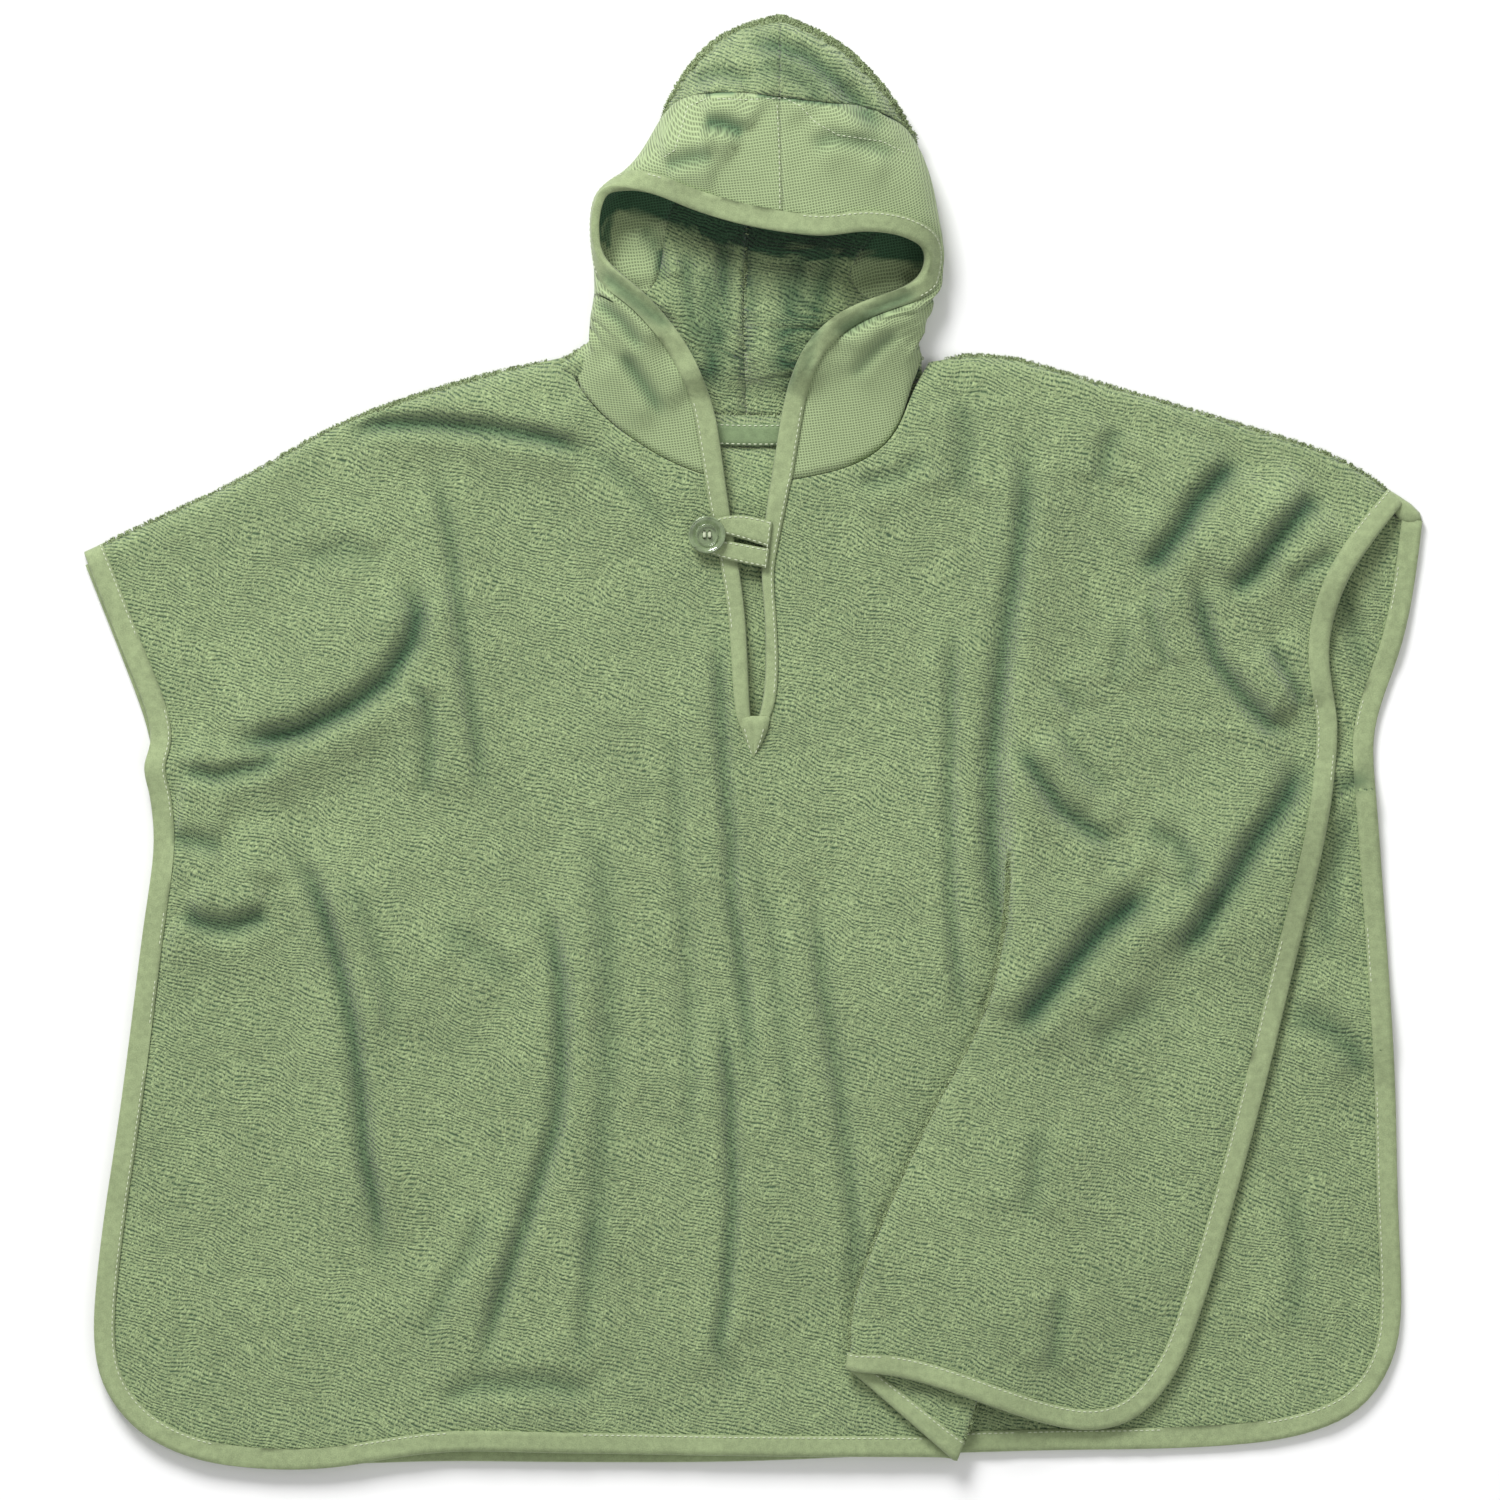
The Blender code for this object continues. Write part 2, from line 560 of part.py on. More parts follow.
def pleat_section(row, start_height):
    """Points across the pleat: out of the lower layer, back, and into the upper one."""
    turn = max(math.radians(row.turn), 0.02)
    radius = TURN_ARC / turn
    profile = []
    for step in range(TURN_STEPS + 1):
        angle = turn * step / TURN_STEPS
        profile.append((radius * math.sin(angle), radius * (1 - math.cos(angle))))
    low_along, low_up = profile[-1]
    for step in range(1, MIDDLE_STEPS + 1):
        length = row.run * step / MIDDLE_STEPS
        profile.append((low_along + length * math.cos(turn), low_up + length * math.sin(turn)))
    high_along, high_up = profile[-1]
    for step in range(1, TURN_STEPS + 1):
        angle = turn * (1 - step / TURN_STEPS)
        profile.append((high_along + radius * (math.sin(turn) - math.sin(angle)),
                        high_up + radius * (math.cos(angle) - math.cos(turn))))
    heading = Vector((math.cos(math.radians(row.heading)), math.sin(math.radians(row.heading)), 0))
    start = Vector((row.a_x, row.a_y, start_height))
    return [start + heading * along + Vector((0, 0, up)) for along, up in profile]


PLEAT_CLEAR = 8.0       # the flap stays high this far past the lower turn
PLEAT_FALL = 46.0       # and comes down to the back over this distance
EDGE_CLEAR = 0.9         # the flap's side lies this much higher, over the back's folds
FLAP_HEM_FROM = -332.0  # below this the flap lies on the binding of the back's hem
FLAP_HEM_TO = -316.0    # and above this on its plain cloth


def flap_height(x, y, high, off):
    """Middle surface of the flap right of the pleat. off: distance from its turn."""
    turn_x = table_value(PLEAT, "a_y", "a_x", y)
    near = 1.0 - smooth_step(PLEAT_CLEAR, PLEAT_CLEAR + PLEAT_FALL, x - turn_x)
    relief = front_relief(x, y) * smooth_step(0.0, 30.0, off) + neck_rise(x, y)
    base = mix(FRONT_MID, FLAP_MID, smooth_step(FLAP_HEM_FROM, FLAP_HEM_TO, y))
    plain = soft_floor(base + relief, FRONT_FLOOR + back_relief(x, y), 0.8)
    plain = max(plain, mix(FRONT_MID, FRONT_FLOOR, smooth_step(FLAP_HEM_FROM, FLAP_HEM_TO, y)))
    return plain + max(0.0, high - FLAP_MID) * near


def flap_edge_height(x, y, high):
    """The same along the flap's bound side, lying clear of the back."""
    return max(flap_height(x, y, high, FULL_CLOTH * 2),
               FLAP_MID + EDGE_CLEAR + back_relief(x, y))


# ---------------------------------------------------------------------------
# Front
# ---------------------------------------------------------------------------
# Roll of the front over the shoulder: (distance in from the outline, height)
SHOULDER_ROLL = ((1.6, 0.8), (1.6, 3.2), (3.4, 5.5))
NECK_RINGS = (GAP / 2, 3.0, 5.5)
FIRST_ROW = 8.0
NECK_SIDE_MID = 6.0
NECK_START = FULL_CLOTH     # first plain column beside the binding


def neck_height(from_side):
    return mix(NECK_SIDE_MID, NECK_MID, smooth_step(0.0, 36.0, from_side))


def neck_stops(length, rings):
    """Distances along a neckline from the slit: binding lines, then even columns."""
    plain = [mix(NECK_START, length, step / BAND_COLUMNS) for step in range(BAND_COLUMNS + 1)]
    return list(rings) + plain


def running_shares(points):
    marks = [0.0]
    for a, b in zip(points, points[1:]):
        marks.append(marks[-1] + flat_distance(a, b))
    return [mark / marks[-1] for mark in marks]


def fill_block(top, bottom, left, right, downs):
    """Points between four boundary rows and columns, blended across."""
    across_top, across_bottom = running_shares(top), running_shares(bottom)
    rows = []
    for j, down in enumerate(downs):
        row = []
        for i in range(len(top)):
            u = mix(across_top[i], across_bottom[i], down)
            point = (top[i] * (1 - down) + bottom[i] * down + left[j] * (1 - u) + right[j] * u
                     - (top[0] * (1 - u) + top[-1] * u) * (1 - down)
                     - (bottom[0] * (1 - u) + bottom[-1] * u) * down)
            row.append(point)
        rows.append(row)
    return rows


def flat(point):
    return Vector((point[0], point[1], 0.0))


def row_shares():
    """Rows of the front below the first one, by height at the slit and by share."""
    heights = [Curve(LEFT_NECKLINE).points[-1].y - FIRST_ROW]
    heights += list(SLIT_ROWS) + [SLIT_FOOT_Y]
    hem = Curve(FRONT_HEM).share(0.75).y + FULL_CLOTH
    heights += [mix(SLIT_FOOT_Y, hem, step / BODY_ROWS) for step in range(1, BODY_ROWS + 1)]
    downs = [(heights[0] - height) / (heights[0] - heights[-1]) for height in heights]
    return heights, downs


class Station:
    """A place on a bound edge and the inner end of the strip that is bound there."""

    def __init__(self, outer, inner, key, own_height=None):
        self.outer = outer          # on the tape's fold
        self.inner = inner          # where the cloth is back to full thickness
        self.key = key
        self.own_height = own_height


def ring_points(cloth, stations, height_at, width=TAPE_WIDTH):
    """Add the strip inside the binding; gives the stations for the tape."""
    lines = []
    for number, station in enumerate(stations):
        end = mix(station.outer, station.inner, TAPE_END / FULL_CLOTH)
        outer = station.outer.copy()
        if station.own_height is None:
            end.z = height_at(end.x, end.y)
            outer.z = height_at(outer.x, outer.y)
        lines.append((outer, end))
    edge_stations = []
    for number, (station, (outer, end)) in enumerate(zip(stations, lines)):
        before = lines[max(0, number - 1)]
        after = lines[min(len(lines) - 1, number + 1)]
        tangent = (after[0] + after[1]) - (before[0] + before[1])
        inward = (end - outer).normalized()
        normal = tangent.cross(inward).normalized()
        inward_unit = (end - outer) / TAPE_END
        edge = outer + inward_unit * EDGE_INSET
        cloth.add(("ring", station.key, 0), edge, EDGE_IN_TAPE / 2, normal)
        cloth.add(("ring", station.key, 1), end, EDGE_IN_TAPE / 2, normal)
        edge_stations.append(EdgeStation(outer, inward_unit, normal, width))
    for a, b in zip(stations, stations[1:]):
        cloth.face(("ring", a.key, 0), ("ring", b.key, 0), ("ring", b.key, 1))
        cloth.face(("ring", a.key, 0), ("ring", b.key, 1), ("ring", a.key, 1))
        cloth.face(("ring", a.key, 1), ("ring", b.key, 1), b.key, a.key)
    return edge_stations


def build_front(material, tape):
    cloth = Cloth("front_panel")
    heights, downs = row_shares()
    slit_last = len(SLIT_ROWS)                     # last open row, counted from the first
    roll = len(SHOULDER_ROLL)
    last = roll + len(downs) - 1

    left_edge = Curve(FRONT_LEFT_EDGE)
    hem = Curve(FRONT_HEM)
    flap_hem = Curve(FLAP_HEM)
    right_edge = Curve(FRONT_RIGHT_EDGE)
    left_shoulder = Curve(LEFT_SHOULDER)
    right_shoulder = Curve(RIGHT_SHOULDER)
    left_neck = Curve(LEFT_NECKLINE[::-1])         # from the slit outwards
    right_neck = Curve(RIGHT_NECKLINE[::-1])

    # -- top boundary: point on the outline, way into the cloth, height of the neck or None
    rings = (EDGE_INSET, TAPE_END)
    left_stops = neck_stops(left_neck.length, rings)
    right_stops = neck_stops(right_neck.length, rings)
    top = []
    for step in range(SHOULDER_COLUMNS + 1):
        along = mix(FULL_CLOTH, left_shoulder.length, step / SHOULDER_COLUMNS)
        top.append([left_shoulder.at(along), -left_of(left_shoulder.tangent(along)), None, 1.0])
    corner_left = len(top) - 1
    for number, stop in enumerate(reversed(left_stops)):
        way = left_of(left_neck.tangent(stop))
        entry = [left_neck.at(stop), way, neck_height(left_neck.length - stop), 0.0]
        if number == 0:
            top[-1][1] = (top[-1][1] + way).normalized()
            top[-1][2], top[-1][3] = entry[2], 0.5
        else:
            top.append(entry)
    cut_left = len(top) - 1
    cut_right = len(top)
    for number, stop in enumerate(right_stops):
        way = -left_of(right_neck.tangent(stop))
        top.append([right_neck.at(stop), way, neck_height(right_neck.length - stop), 0.0])
    corner_right = len(top) - 1
    top[-1][1] = (top[-1][1] - left_of(right_shoulder.tangent(0.0))).normalized()
    top[-1][3] = 0.5
    pleat_top = pleat_section(pleat_row(0.0), 0.0)
    pleat_start = flat_distance(pleat_top[0], right_shoulder.points[0])
    pleat_width = flat_distance(pleat_top[0], pleat_top[-1])
    for step in range(1, SHOULDER_TO_PLEAT_COLUMNS + 1):
        along = pleat_start * step / SHOULDER_TO_PLEAT_COLUMNS
        top.append([right_shoulder.at(along), -left_of(right_shoulder.tangent(along)), None, 1.0])
    pleat_first = len(top) - 1
    for place in pleat_top[1:]:
        along = pleat_start + flat_distance(pleat_top[0], place)
        top.append([right_shoulder.at(along), -left_of(right_shoulder.tangent(along)), None, 1.0])
    pleat_last = len(top) - 1
    flap_start = pleat_start + pleat_width
    for step in range(1, FLAP_COLUMNS + 1):
        along = mix(flap_start, right_shoulder.length - FULL_CLOTH, step / FLAP_COLUMNS)
        top.append([right_shoulder.at(along), -left_of(right_shoulder.tangent(along)), None, 1.0])
    final = len(top) - 1

    # -- bound sides
    def left_station(j):
        if j < roll:
            along = SHOULDER_ROLL[j][0]
        else:
            along = mix(FIRST_ROW, left_edge.length, downs[j - roll])
        inward = left_of(left_edge.tangent(along, 20.0))
        shoulder = left_shoulder.tangent(0.0)
        near_top = 1.0 - smooth_step(0.0, 30.0, along)
        inward = mix(inward, shoulder, near_top).normalized()
        if j == last:
            inward = left_of(left_edge.tangent(along, 6.0) + hem.tangent(0.0, 6.0))
        return left_edge.at(along), inward

    def right_station(j):
        if j < roll:
            along = SHOULDER_ROLL[j][0]
        else:
            along = mix(FIRST_ROW, right_edge.length, downs[j - roll])
        inward = -left_of(right_edge.tangent(along, 16.0))
        shoulder = -right_shoulder.tangent(right_shoulder.length)
        near_top = 1.0 - smooth_step(0.0, 30.0, along)
        inward = mix(inward, shoulder, near_top).normalized()
        if j == last:
            inward = left_of(flap_hem.tangent(flap_hem.length, 6.0)
                             - right_edge.tangent(along, 6.0))
        return right_edge.at(along), inward

    # -- pleat columns, row by row
    pleats = []
    for down in downs:
        row = pleat_row(down)
        start = front_height(row.a_x, row.a_y)
        pleats.append(pleat_section(row, start))
    pleats[-1] = pleat_section(PLEAT[-1], front_height(PLEAT[-1].a_x, PLEAT[-1].a_y))
    hem_pleat = pleat_section(PLEAT_HEM, front_height(PLEAT_HEM.a_x, PLEAT_HEM.a_y))

    # -- left block
    first_row = [entry[0] + entry[1] * FIRST_ROW for entry in top]
    left_side = []
    for j in range(roll, last + 1):
        outer, inward = left_station(j)
        left_side.append(flat(outer + inward * FULL_CLOTH))
    right_side = []
    for j in range(roll, last + 1):
        outer, inward = right_station(j)
        right_side.append(flat(outer + inward * FULL_CLOTH))
    first_row[0] = left_side[0]
    first_row[final] = right_side[0]
    first_row[pleat_first] = flat(pleats[0][0])
    hem_points, hem_outer = [], []
    for i in range(pleat_first + 1):
        number = i if i < cut_right else i - 1
        along = hem.length * number / (pleat_first - 1)
        outer = hem.at(along)
        inward = left_of(hem.tangent(along, 10.0))
        hem_outer.append(outer)
        hem_points.append(flat(outer + inward * FULL_CLOTH))
    hem_points[0] = left_side[-1]
    hem_points[-1] = flat(pleats[-1][0])
    left_block = fill_block(first_row[:pleat_first + 1], hem_points, left_side,
                            [flat(p[0]) for p in pleats], downs)
    flap_points, flap_outer = [], []
    for step in range(FLAP_COLUMNS + 1):
        along = flap_hem.length * step / FLAP_COLUMNS
        outer = flap_hem.at(along)
        inward = left_of(flap_hem.tangent(along, 10.0))
        flap_outer.append(outer)
        flap_points.append(flat(outer + inward * FULL_CLOTH))
    flap_points[0] = flat(pleats[-1][-1])
    flap_points[-1] = right_side[-1]
    flap_top = [flat(pleats[0][-1])] + first_row[pleat_last + 1:]
    right_block = fill_block(flap_top, flap_points, [flat(p[-1]) for p in pleats],
                             right_side, downs)

    # -- open the slit
    def open_slit(row, y):
        cuts = {side: table_value(SLIT, "y", side, y) for side in ("left", "right")}
        widths = {side: table_value(SLIT, "y", "tape_" + side, y) for side in ("left", "right")}
        for side, start, sign in (("left", cut_left, -1), ("right", cut_right, 1)):
            offsets = (EDGE_INSET, widths[side] + 0.4, widths[side] + 3.0)
            wanted = [cuts[side] + sign * offset for offset in offsets]
            outermost = start + sign * 2
            moved = wanted[2] - row[outermost].x
            for number, x in enumerate(wanted):
                column = start + sign * number
                row[column] = Vector((x, y, 0.0))
            for number in range(1, 5):
                column = outermost + sign * number
                row[column].x += moved * (1 - number / 5)
        return row

    for number in range(slit_last + 1):
        y = heights[number]
        level = left_block[number]
        lift = y - 0.5 * (level[cut_left].y + level[cut_right].y)
        for i in range(corner_left + 1, corner_right):
            nearness = 1 - abs(i - cut_left - 0.5) / (BAND_COLUMNS + 4)
            level[i].y += lift * max(0.0, nearness) * (1.0 if number else 0.0)
        y_here = level[cut_left].y if number == 0 else y
        open_slit(level, y_here)
    foot = left_block[slit_last + 1]
    meeting = Vector((0.4, SLIT_FOOT_Y, 0.0))
    foot[cut_left] = meeting
    foot[cut_right] = meeting.copy()

    # -- add the points
    def add_block(i, j, plan):
        plan.z = front_height(plan.x, plan.y)
        if i == 0 or j == last:
            plan.z = max(plan.z, EDGE_MID)
        half = TERRY / 2
        if cut_left - 1 <= i <= cut_right + 1 and j - roll <= slit_last:
            half = EDGE_IN_TAPE / 2
        cloth.add((i, j), plan, half)

    for j in range(roll, last + 1):
        for i in range(pleat_first + 1):
            if i == cut_right and j - roll > slit_last:
                cloth.index[(i, j)] = cloth.index[(cut_left, j)]
                continue
            add_block(i, j, left_block[j - roll][i])
        section = pleats[j - roll]
        for number in range(1, len(section)):
            cloth.add((pleat_first + number, j), section[number], TERRY / 2)
        high = section[-1].z
        for number in range(1, FLAP_COLUMNS + 1):
            plan = right_block[j - roll][number]
            off = flat_distance(plan, section[-1])
            plan.z = flap_height(plan.x, plan.y, high, off)
            if number == FLAP_COLUMNS:
                plan.z = flap_edge_height(plan.x, plan.y, high)
            cloth.add((pleat_last + number, j), plan, TERRY / 2)

    # roll over the shoulder, and the neckline's own edge
    for j in range(roll):
        inset, up = SHOULDER_ROLL[j]
        for i, (outline, way, neck, rolled) in enumerate(top):
            distance = inset * rolled + NECK_RINGS[j] * (1 - rolled)
            height = up if neck is None else mix(neck, up, rolled)
            point = outline + way * distance
            half = TERRY / 2
            if i == 0:
                outer, inward = left_station(j)
                point = outer + inward * FULL_CLOTH
            if i == final:
                outer, inward = right_station(j)
                point = outer + inward * FULL_CLOTH
            if cut_left - 1 <= i <= cut_right + 1:
                half = EDGE_IN_TAPE / 2
            if i in (corner_left, corner_right):
                half = PRESSED_SEAM / 2
            if j > 0 and cut_left - 2 <= i <= cut_right + 2:
                side, start, sign = (("left", cut_left, -1) if i <= cut_left
                                     else ("right", cut_right, 1))
                width = table_value(SLIT, "y", "tape_" + side, point.y)
                offset = (EDGE_INSET, width + 0.4, width + 3.0)[abs(i - start)]
                point.x = table_value(SLIT, "y", side, point.y) + sign * offset
            cloth.add((i, j), Vector((point.x, point.y, height)), half)

    for j in range(last):
        for i in range(final):
            if i == cut_left and j - roll <= slit_last:
                continue
            cloth.face((i, j), (i, j + 1), (i + 1, j + 1), (i + 1, j))

    # -- bound edge, round from the left shoulder to the right one
    stations = []
    for j in range(last + 1):
        outer, inward = left_station(j)
        own = None
        inner = cloth.points[cloth.index[(0, j)]]
        if j < roll:
            own = SHOULDER_ROLL[j][1]
            outer = Vector((outer.x, outer.y, own))
        stations.append(Station(Vector((outer.x, outer.y, outer.z)), inner, (0, j), own))
    for i in range(1, pleat_first + 1):
        if i == cut_right:
            continue
        stations.append(Station(hem_outer[i].copy(), cloth.points[cloth.index[(i, last)]],
                                (i, last)))
    stations[-1].outer = hem_pleat[0].copy()
    for number in range(1, len(hem_pleat)):
        stations.append(Station(hem_pleat[number].copy(),
                                cloth.points[cloth.index[(pleat_first + number, last)]],
                                (pleat_first + number, last), hem_pleat[number].z))
    high = hem_pleat[-1].z
    for number in range(1, FLAP_COLUMNS + 1):
        i = pleat_last + number
        outer = flap_outer[number].copy()
        outer.z = max(flap_height(outer.x, outer.y, high, flat_distance(outer, hem_pleat[-1])),
                      FRONT_MID)
        stations.append(Station(outer, cloth.points[cloth.index[(i, last)]], (i, last), outer.z))
    for j in range(last - 1, -1, -1):
        outer, inward = right_station(j)
        outer = outer.copy()
        if j < roll:
            outer.z = SHOULDER_ROLL[j][1]
        else:
            high = pleats[j - roll][-1].z
            outer.z = flap_edge_height(outer.x, outer.y, high)
        stations.append(Station(outer, cloth.points[cloth.index[(final, j)]], (final, j), outer.z))
    tape_stations = ring_points(cloth, stations, front_edge_height)
    cloth.solid(material)
    binding("front_binding", tape_stations, tape)

    # -- stations of the slit's two edges, top to bottom
    slit_sides = {}
    for side, start, sign in (("left", cut_left, -1), ("right", cut_right, 1)):
        column = []
        for j in range(1, roll + slit_last + 1):
            edge = cloth.points[cloth.index[(start, j)]]
            end = cloth.points[cloth.index[(start + sign, j)]]
            width = table_value(SLIT, "y", "tape_" + side, edge.y)
            inward = (end - edge).normalized()
            cloth_edge = edge - inward * EDGE_INSET
            column.append((cloth_edge, inward, width))
        slit_sides[side] = column
    return slit_sides


# ---------------------------------------------------------------------------
# Back
# ---------------------------------------------------------------------------
def back_height(x, y):
    return BACK_MID + back_relief(x, y)


def back_edge_height(x, y):
    return BACK_EDGE_MID + back_relief(x, y)


def back_neck_places():
    """Shared places on the back neckline, from the left side to the right."""
    curve = Curve(BACK_NECKLINE)
    spine_x = SPINE[0].x
    low, high = 0.0, curve.length
    for _ in range(30):
        middle = (low + high) / 2
        if curve.at(middle).x < spine_x:
            low = middle
        else:
            high = middle
    half = CROWN_COLUMNS - 2
    left = [curve.at(middle * step / half) for step in range(half + 1)]
    right = [curve.at(mix(middle, curve.length, step / half)) for step in range(half + 1)]
    return left, right


def build_back(material, tape):
    cloth = Cloth("back_panel")
    left_edge, right_edge = Curve(BACK_LEFT_EDGE), Curve(BACK_RIGHT_EDGE)
    hem = Curve(BACK_HEM)
    left_shoulder, right_shoulder = Curve(LEFT_SHOULDER), Curve(RIGHT_SHOULDER)
    neck_left, neck_right = back_neck_places()

    top = []
    for step in range(BACK_SHOULDER_COLUMNS):
        along = mix(FULL_CLOTH, left_shoulder.length, step / BACK_SHOULDER_COLUMNS)
        way = -left_of(left_shoulder.tangent(along))
        top.append(flat(left_shoulder.at(along) + way * SHOULDER_CLEAR))
    for place in neck_left + neck_right[1:]:
        top.append(Vector((place.x, place.y - GAP / 2, 0.0)))
    for step in range(1, BACK_SHOULDER_COLUMNS + 1):
        along = mix(0.0, right_shoulder.length - 4.0, step / BACK_SHOULDER_COLUMNS)
        way = -left_of(right_shoulder.tangent(along))
        top.append(flat(right_shoulder.at(along) + way * SHOULDER_CLEAR))
    downs = list(BACK_DOWNS)

    def side_station(curve, down, sign, first):
        along = mix(first, curve.length, down)
        inward = left_of(curve.tangent(along, 16.0)) * sign
        if down == 1.0:
            other = hem.tangent(0.0, 6.0) if sign > 0 else -hem.tangent(hem.length, 6.0)
            inward = left_of(curve.tangent(along, 6.0) + other) * sign
        return curve.at(along), inward

    left_first, right_first = SHOULDER_CLEAR + 1.0, 2.0
    left_rows = [side_station(left_edge, down, 1, left_first) for down in downs]
    right_rows = [side_station(right_edge, down, -1, right_first) for down in downs]
    left_side = [flat(outer + inward * FULL_CLOTH) for outer, inward in left_rows]
    right_side = [flat(outer + inward * FULL_CLOTH) for outer, inward in right_rows]
    top[0], top[-1] = left_side[0], right_side[0]
    outer_hem, bottom = [], []
    for i in range(len(top)):
        along = hem.length * i / (len(top) - 1)
        outer = hem.at(along)
        outer_hem.append(outer)
        bottom.append(flat(outer + left_of(hem.tangent(along, 10.0)) * FULL_CLOTH))
    bottom[0], bottom[-1] = left_side[-1], right_side[-1]
    block = fill_block(top, bottom, left_side, right_side, downs)
    last, final = len(downs) - 1, len(top) - 1
    for j, row in enumerate(block):
        for i, plan in enumerate(row):
            plan.z = back_height(plan.x, plan.y)
            cloth.add((i, j), plan, TERRY / 2)
    for j in range(last):
        for i in range(final):
            cloth.face((i, j), (i, j + 1), (i + 1, j + 1), (i + 1, j))

    stations = [Station(outer.copy(), cloth.points[cloth.index[(0, j)]], (0, j))
                for j, (outer, inward) in enumerate(left_rows)]
    stations += [Station(outer_hem[i].copy(), cloth.points[cloth.index[(i, last)]], (i, last))
                 for i in range(1, final)]
    stations += [Station(right_rows[j][0].copy(), cloth.points[cloth.index[(final, j)]], (final, j))
                 for j in range(last, -1, -1)]
    edge_stations = ring_points(cloth, stations, back_edge_height)
    cloth.solid(material)
    binding("back_binding", edge_stations, tape)


# ---------------------------------------------------------------------------
# Hood
# ---------------------------------------------------------------------------
SIDE_TUCKED = 4.0       # the hood's neck edge stays this far inside the shoulder's end
UNDER_STEP = 6.0        # the back layer starts this far inside the hood's side
CROWN_CROWD = 3.0       # how much closer columns stand at the hood's side
BAND_CROWD = 0.6


def hood_path(row):
    spine = Curve(SPINE).share(row.spine)
    rim, crest, edge = vec(row.rim), vec(row.crest), vec(row.edge)
    way = flat(spine - edge)
    step = min(UNDER_STEP, 0.5 * way.length)
    under = Vector((edge.x, edge.y, BACK_MID)) + way.normalized() * step
    foot = Vector((spine.x, spine.y, BACK_MID))
    path = Curve((rim, crest, edge, under, foot))
    edge_mark = (Curve((rim, crest, edge)).length)
    return path, edge_mark


def crowded_marks(start, end, centre, count, crowd):
    """Distances from start to end, closer together near the centre."""
    samples = 60
    marks, total = [0.0], 0.0
    for sample in range(samples):
        place = mix(start, end, (sample + 0.5) / samples)
        total += 1.0 + crowd * math.exp(-((place - centre) / 12.0) ** 2)
        marks.append(total)
    result = []
    for step in range(count + 1):
        wanted = total * step / count
        index = next(i for i, mark in enumerate(marks) if mark >= wanted - 1e-9)
        if index == 0:
            result.append(start)
            continue
        share = (wanted - marks[index - 1]) / (marks[index] - marks[index - 1])
        result.append(mix(start, end, (index - 1 + share) / samples))
    return result


def hood_section(row):
    """Band points from the rim to its seam, and crown points from there to the spine."""
    path, edge_mark = hood_path(row)
    band = [path.at(mark) for mark in
            crowded_marks(NECK_START, row.band - GAP / 2, edge_mark, BAND_COLUMNS, BAND_CROWD)]
    crown = [path.at(mark) for mark in
             crowded_marks(row.band + GAP / 2, path.length, edge_mark, CROWN_COLUMNS,
                           CROWN_CROWD)]
    for point in band + crown:
        point.z = max(point.z, BACK_MID)
    return vec(row.rim), band, crown


def neck_section(neck, back_places, sign):
    """The hood's first section, along the front and back necklines."""
    rim = neck.points[0].copy()
    rim.z = NECK_MID
    band = []
    stops = neck_stops(neck.length, ())
    for stop in stops:
        way = left_of(neck.tangent(stop)) * -sign
        tucked = mix(GAP / 2, SIDE_TUCKED, smooth_step(neck.length - 25.0, neck.length, stop))
        point = neck.at(stop) - way * tucked
        point.z = neck_height(neck.length - stop)
        band.append(point)
    crown = []
    start = band[-1].copy()
    down = Vector((back_places[0].x, back_places[0].y + GAP / 2, BACK_MID))
    crown.append(start + (down - start).normalized() * GAP)
    crown.append(mix(start, down, 0.5) + Vector((-sign * 1.2, 0.8, 0.0)))
    for place in back_places:
        crown.append(Vector((place.x, place.y + GAP / 2, BACK_MID)))
    crown[2].z = BACK_MID
    return rim, band, crown


def smooth_between(before, a, b, after, t):
    """The value a share t of the way from a to b, on a curve through all four."""
    return a + ((b - before) * t + (before * 2 - a * 5 + b * 4 - after) * t * t
                + (a * 3 - before - b * 3 + after) * t ** 3) * 0.5


def refined(table, per_gap):
    """The hood's table with rows added between its rows."""
    rows = []
    for index in range(len(table) - 1):
        four = (table[max(0, index - 1)], table[index], table[index + 1],
                table[min(len(table) - 1, index + 2)])
        for step in range(per_gap):
            t = step / per_gap
            places = [smooth_between(*(vec(getattr(row, column)) for row in four), t)
                      for column in ("rim", "crest", "edge")]
            sizes = [smooth_between(*(getattr(row, column) for row in four), t)
                     for column in ("spine", "band")]
            rows.append(HoodRow(*places, *sizes))
    rows.append(table[-1])
    return rows


def grid_normals(rows):
    """Normals of a net of points, from the lines through each point."""
    normals = []
    for k, row in enumerate(rows):
        before, after = rows[max(0, k - 1)], rows[min(len(rows) - 1, k + 1)]
        line = []
        for c in range(len(row)):
            across = row[min(len(row) - 1, c + 1)] - row[max(0, c - 1)]
            line.append((after[c] - before[c]).cross(across).normalized())
        normals.append(line)
    return normals


LYING = 0.05            # a point this near the table level counts as lying flat
SEAM_GAP = 0.6          # between the band and the crown
LEAST_SKEW = 0.85       # the binding's section leans no further than this, as a sine


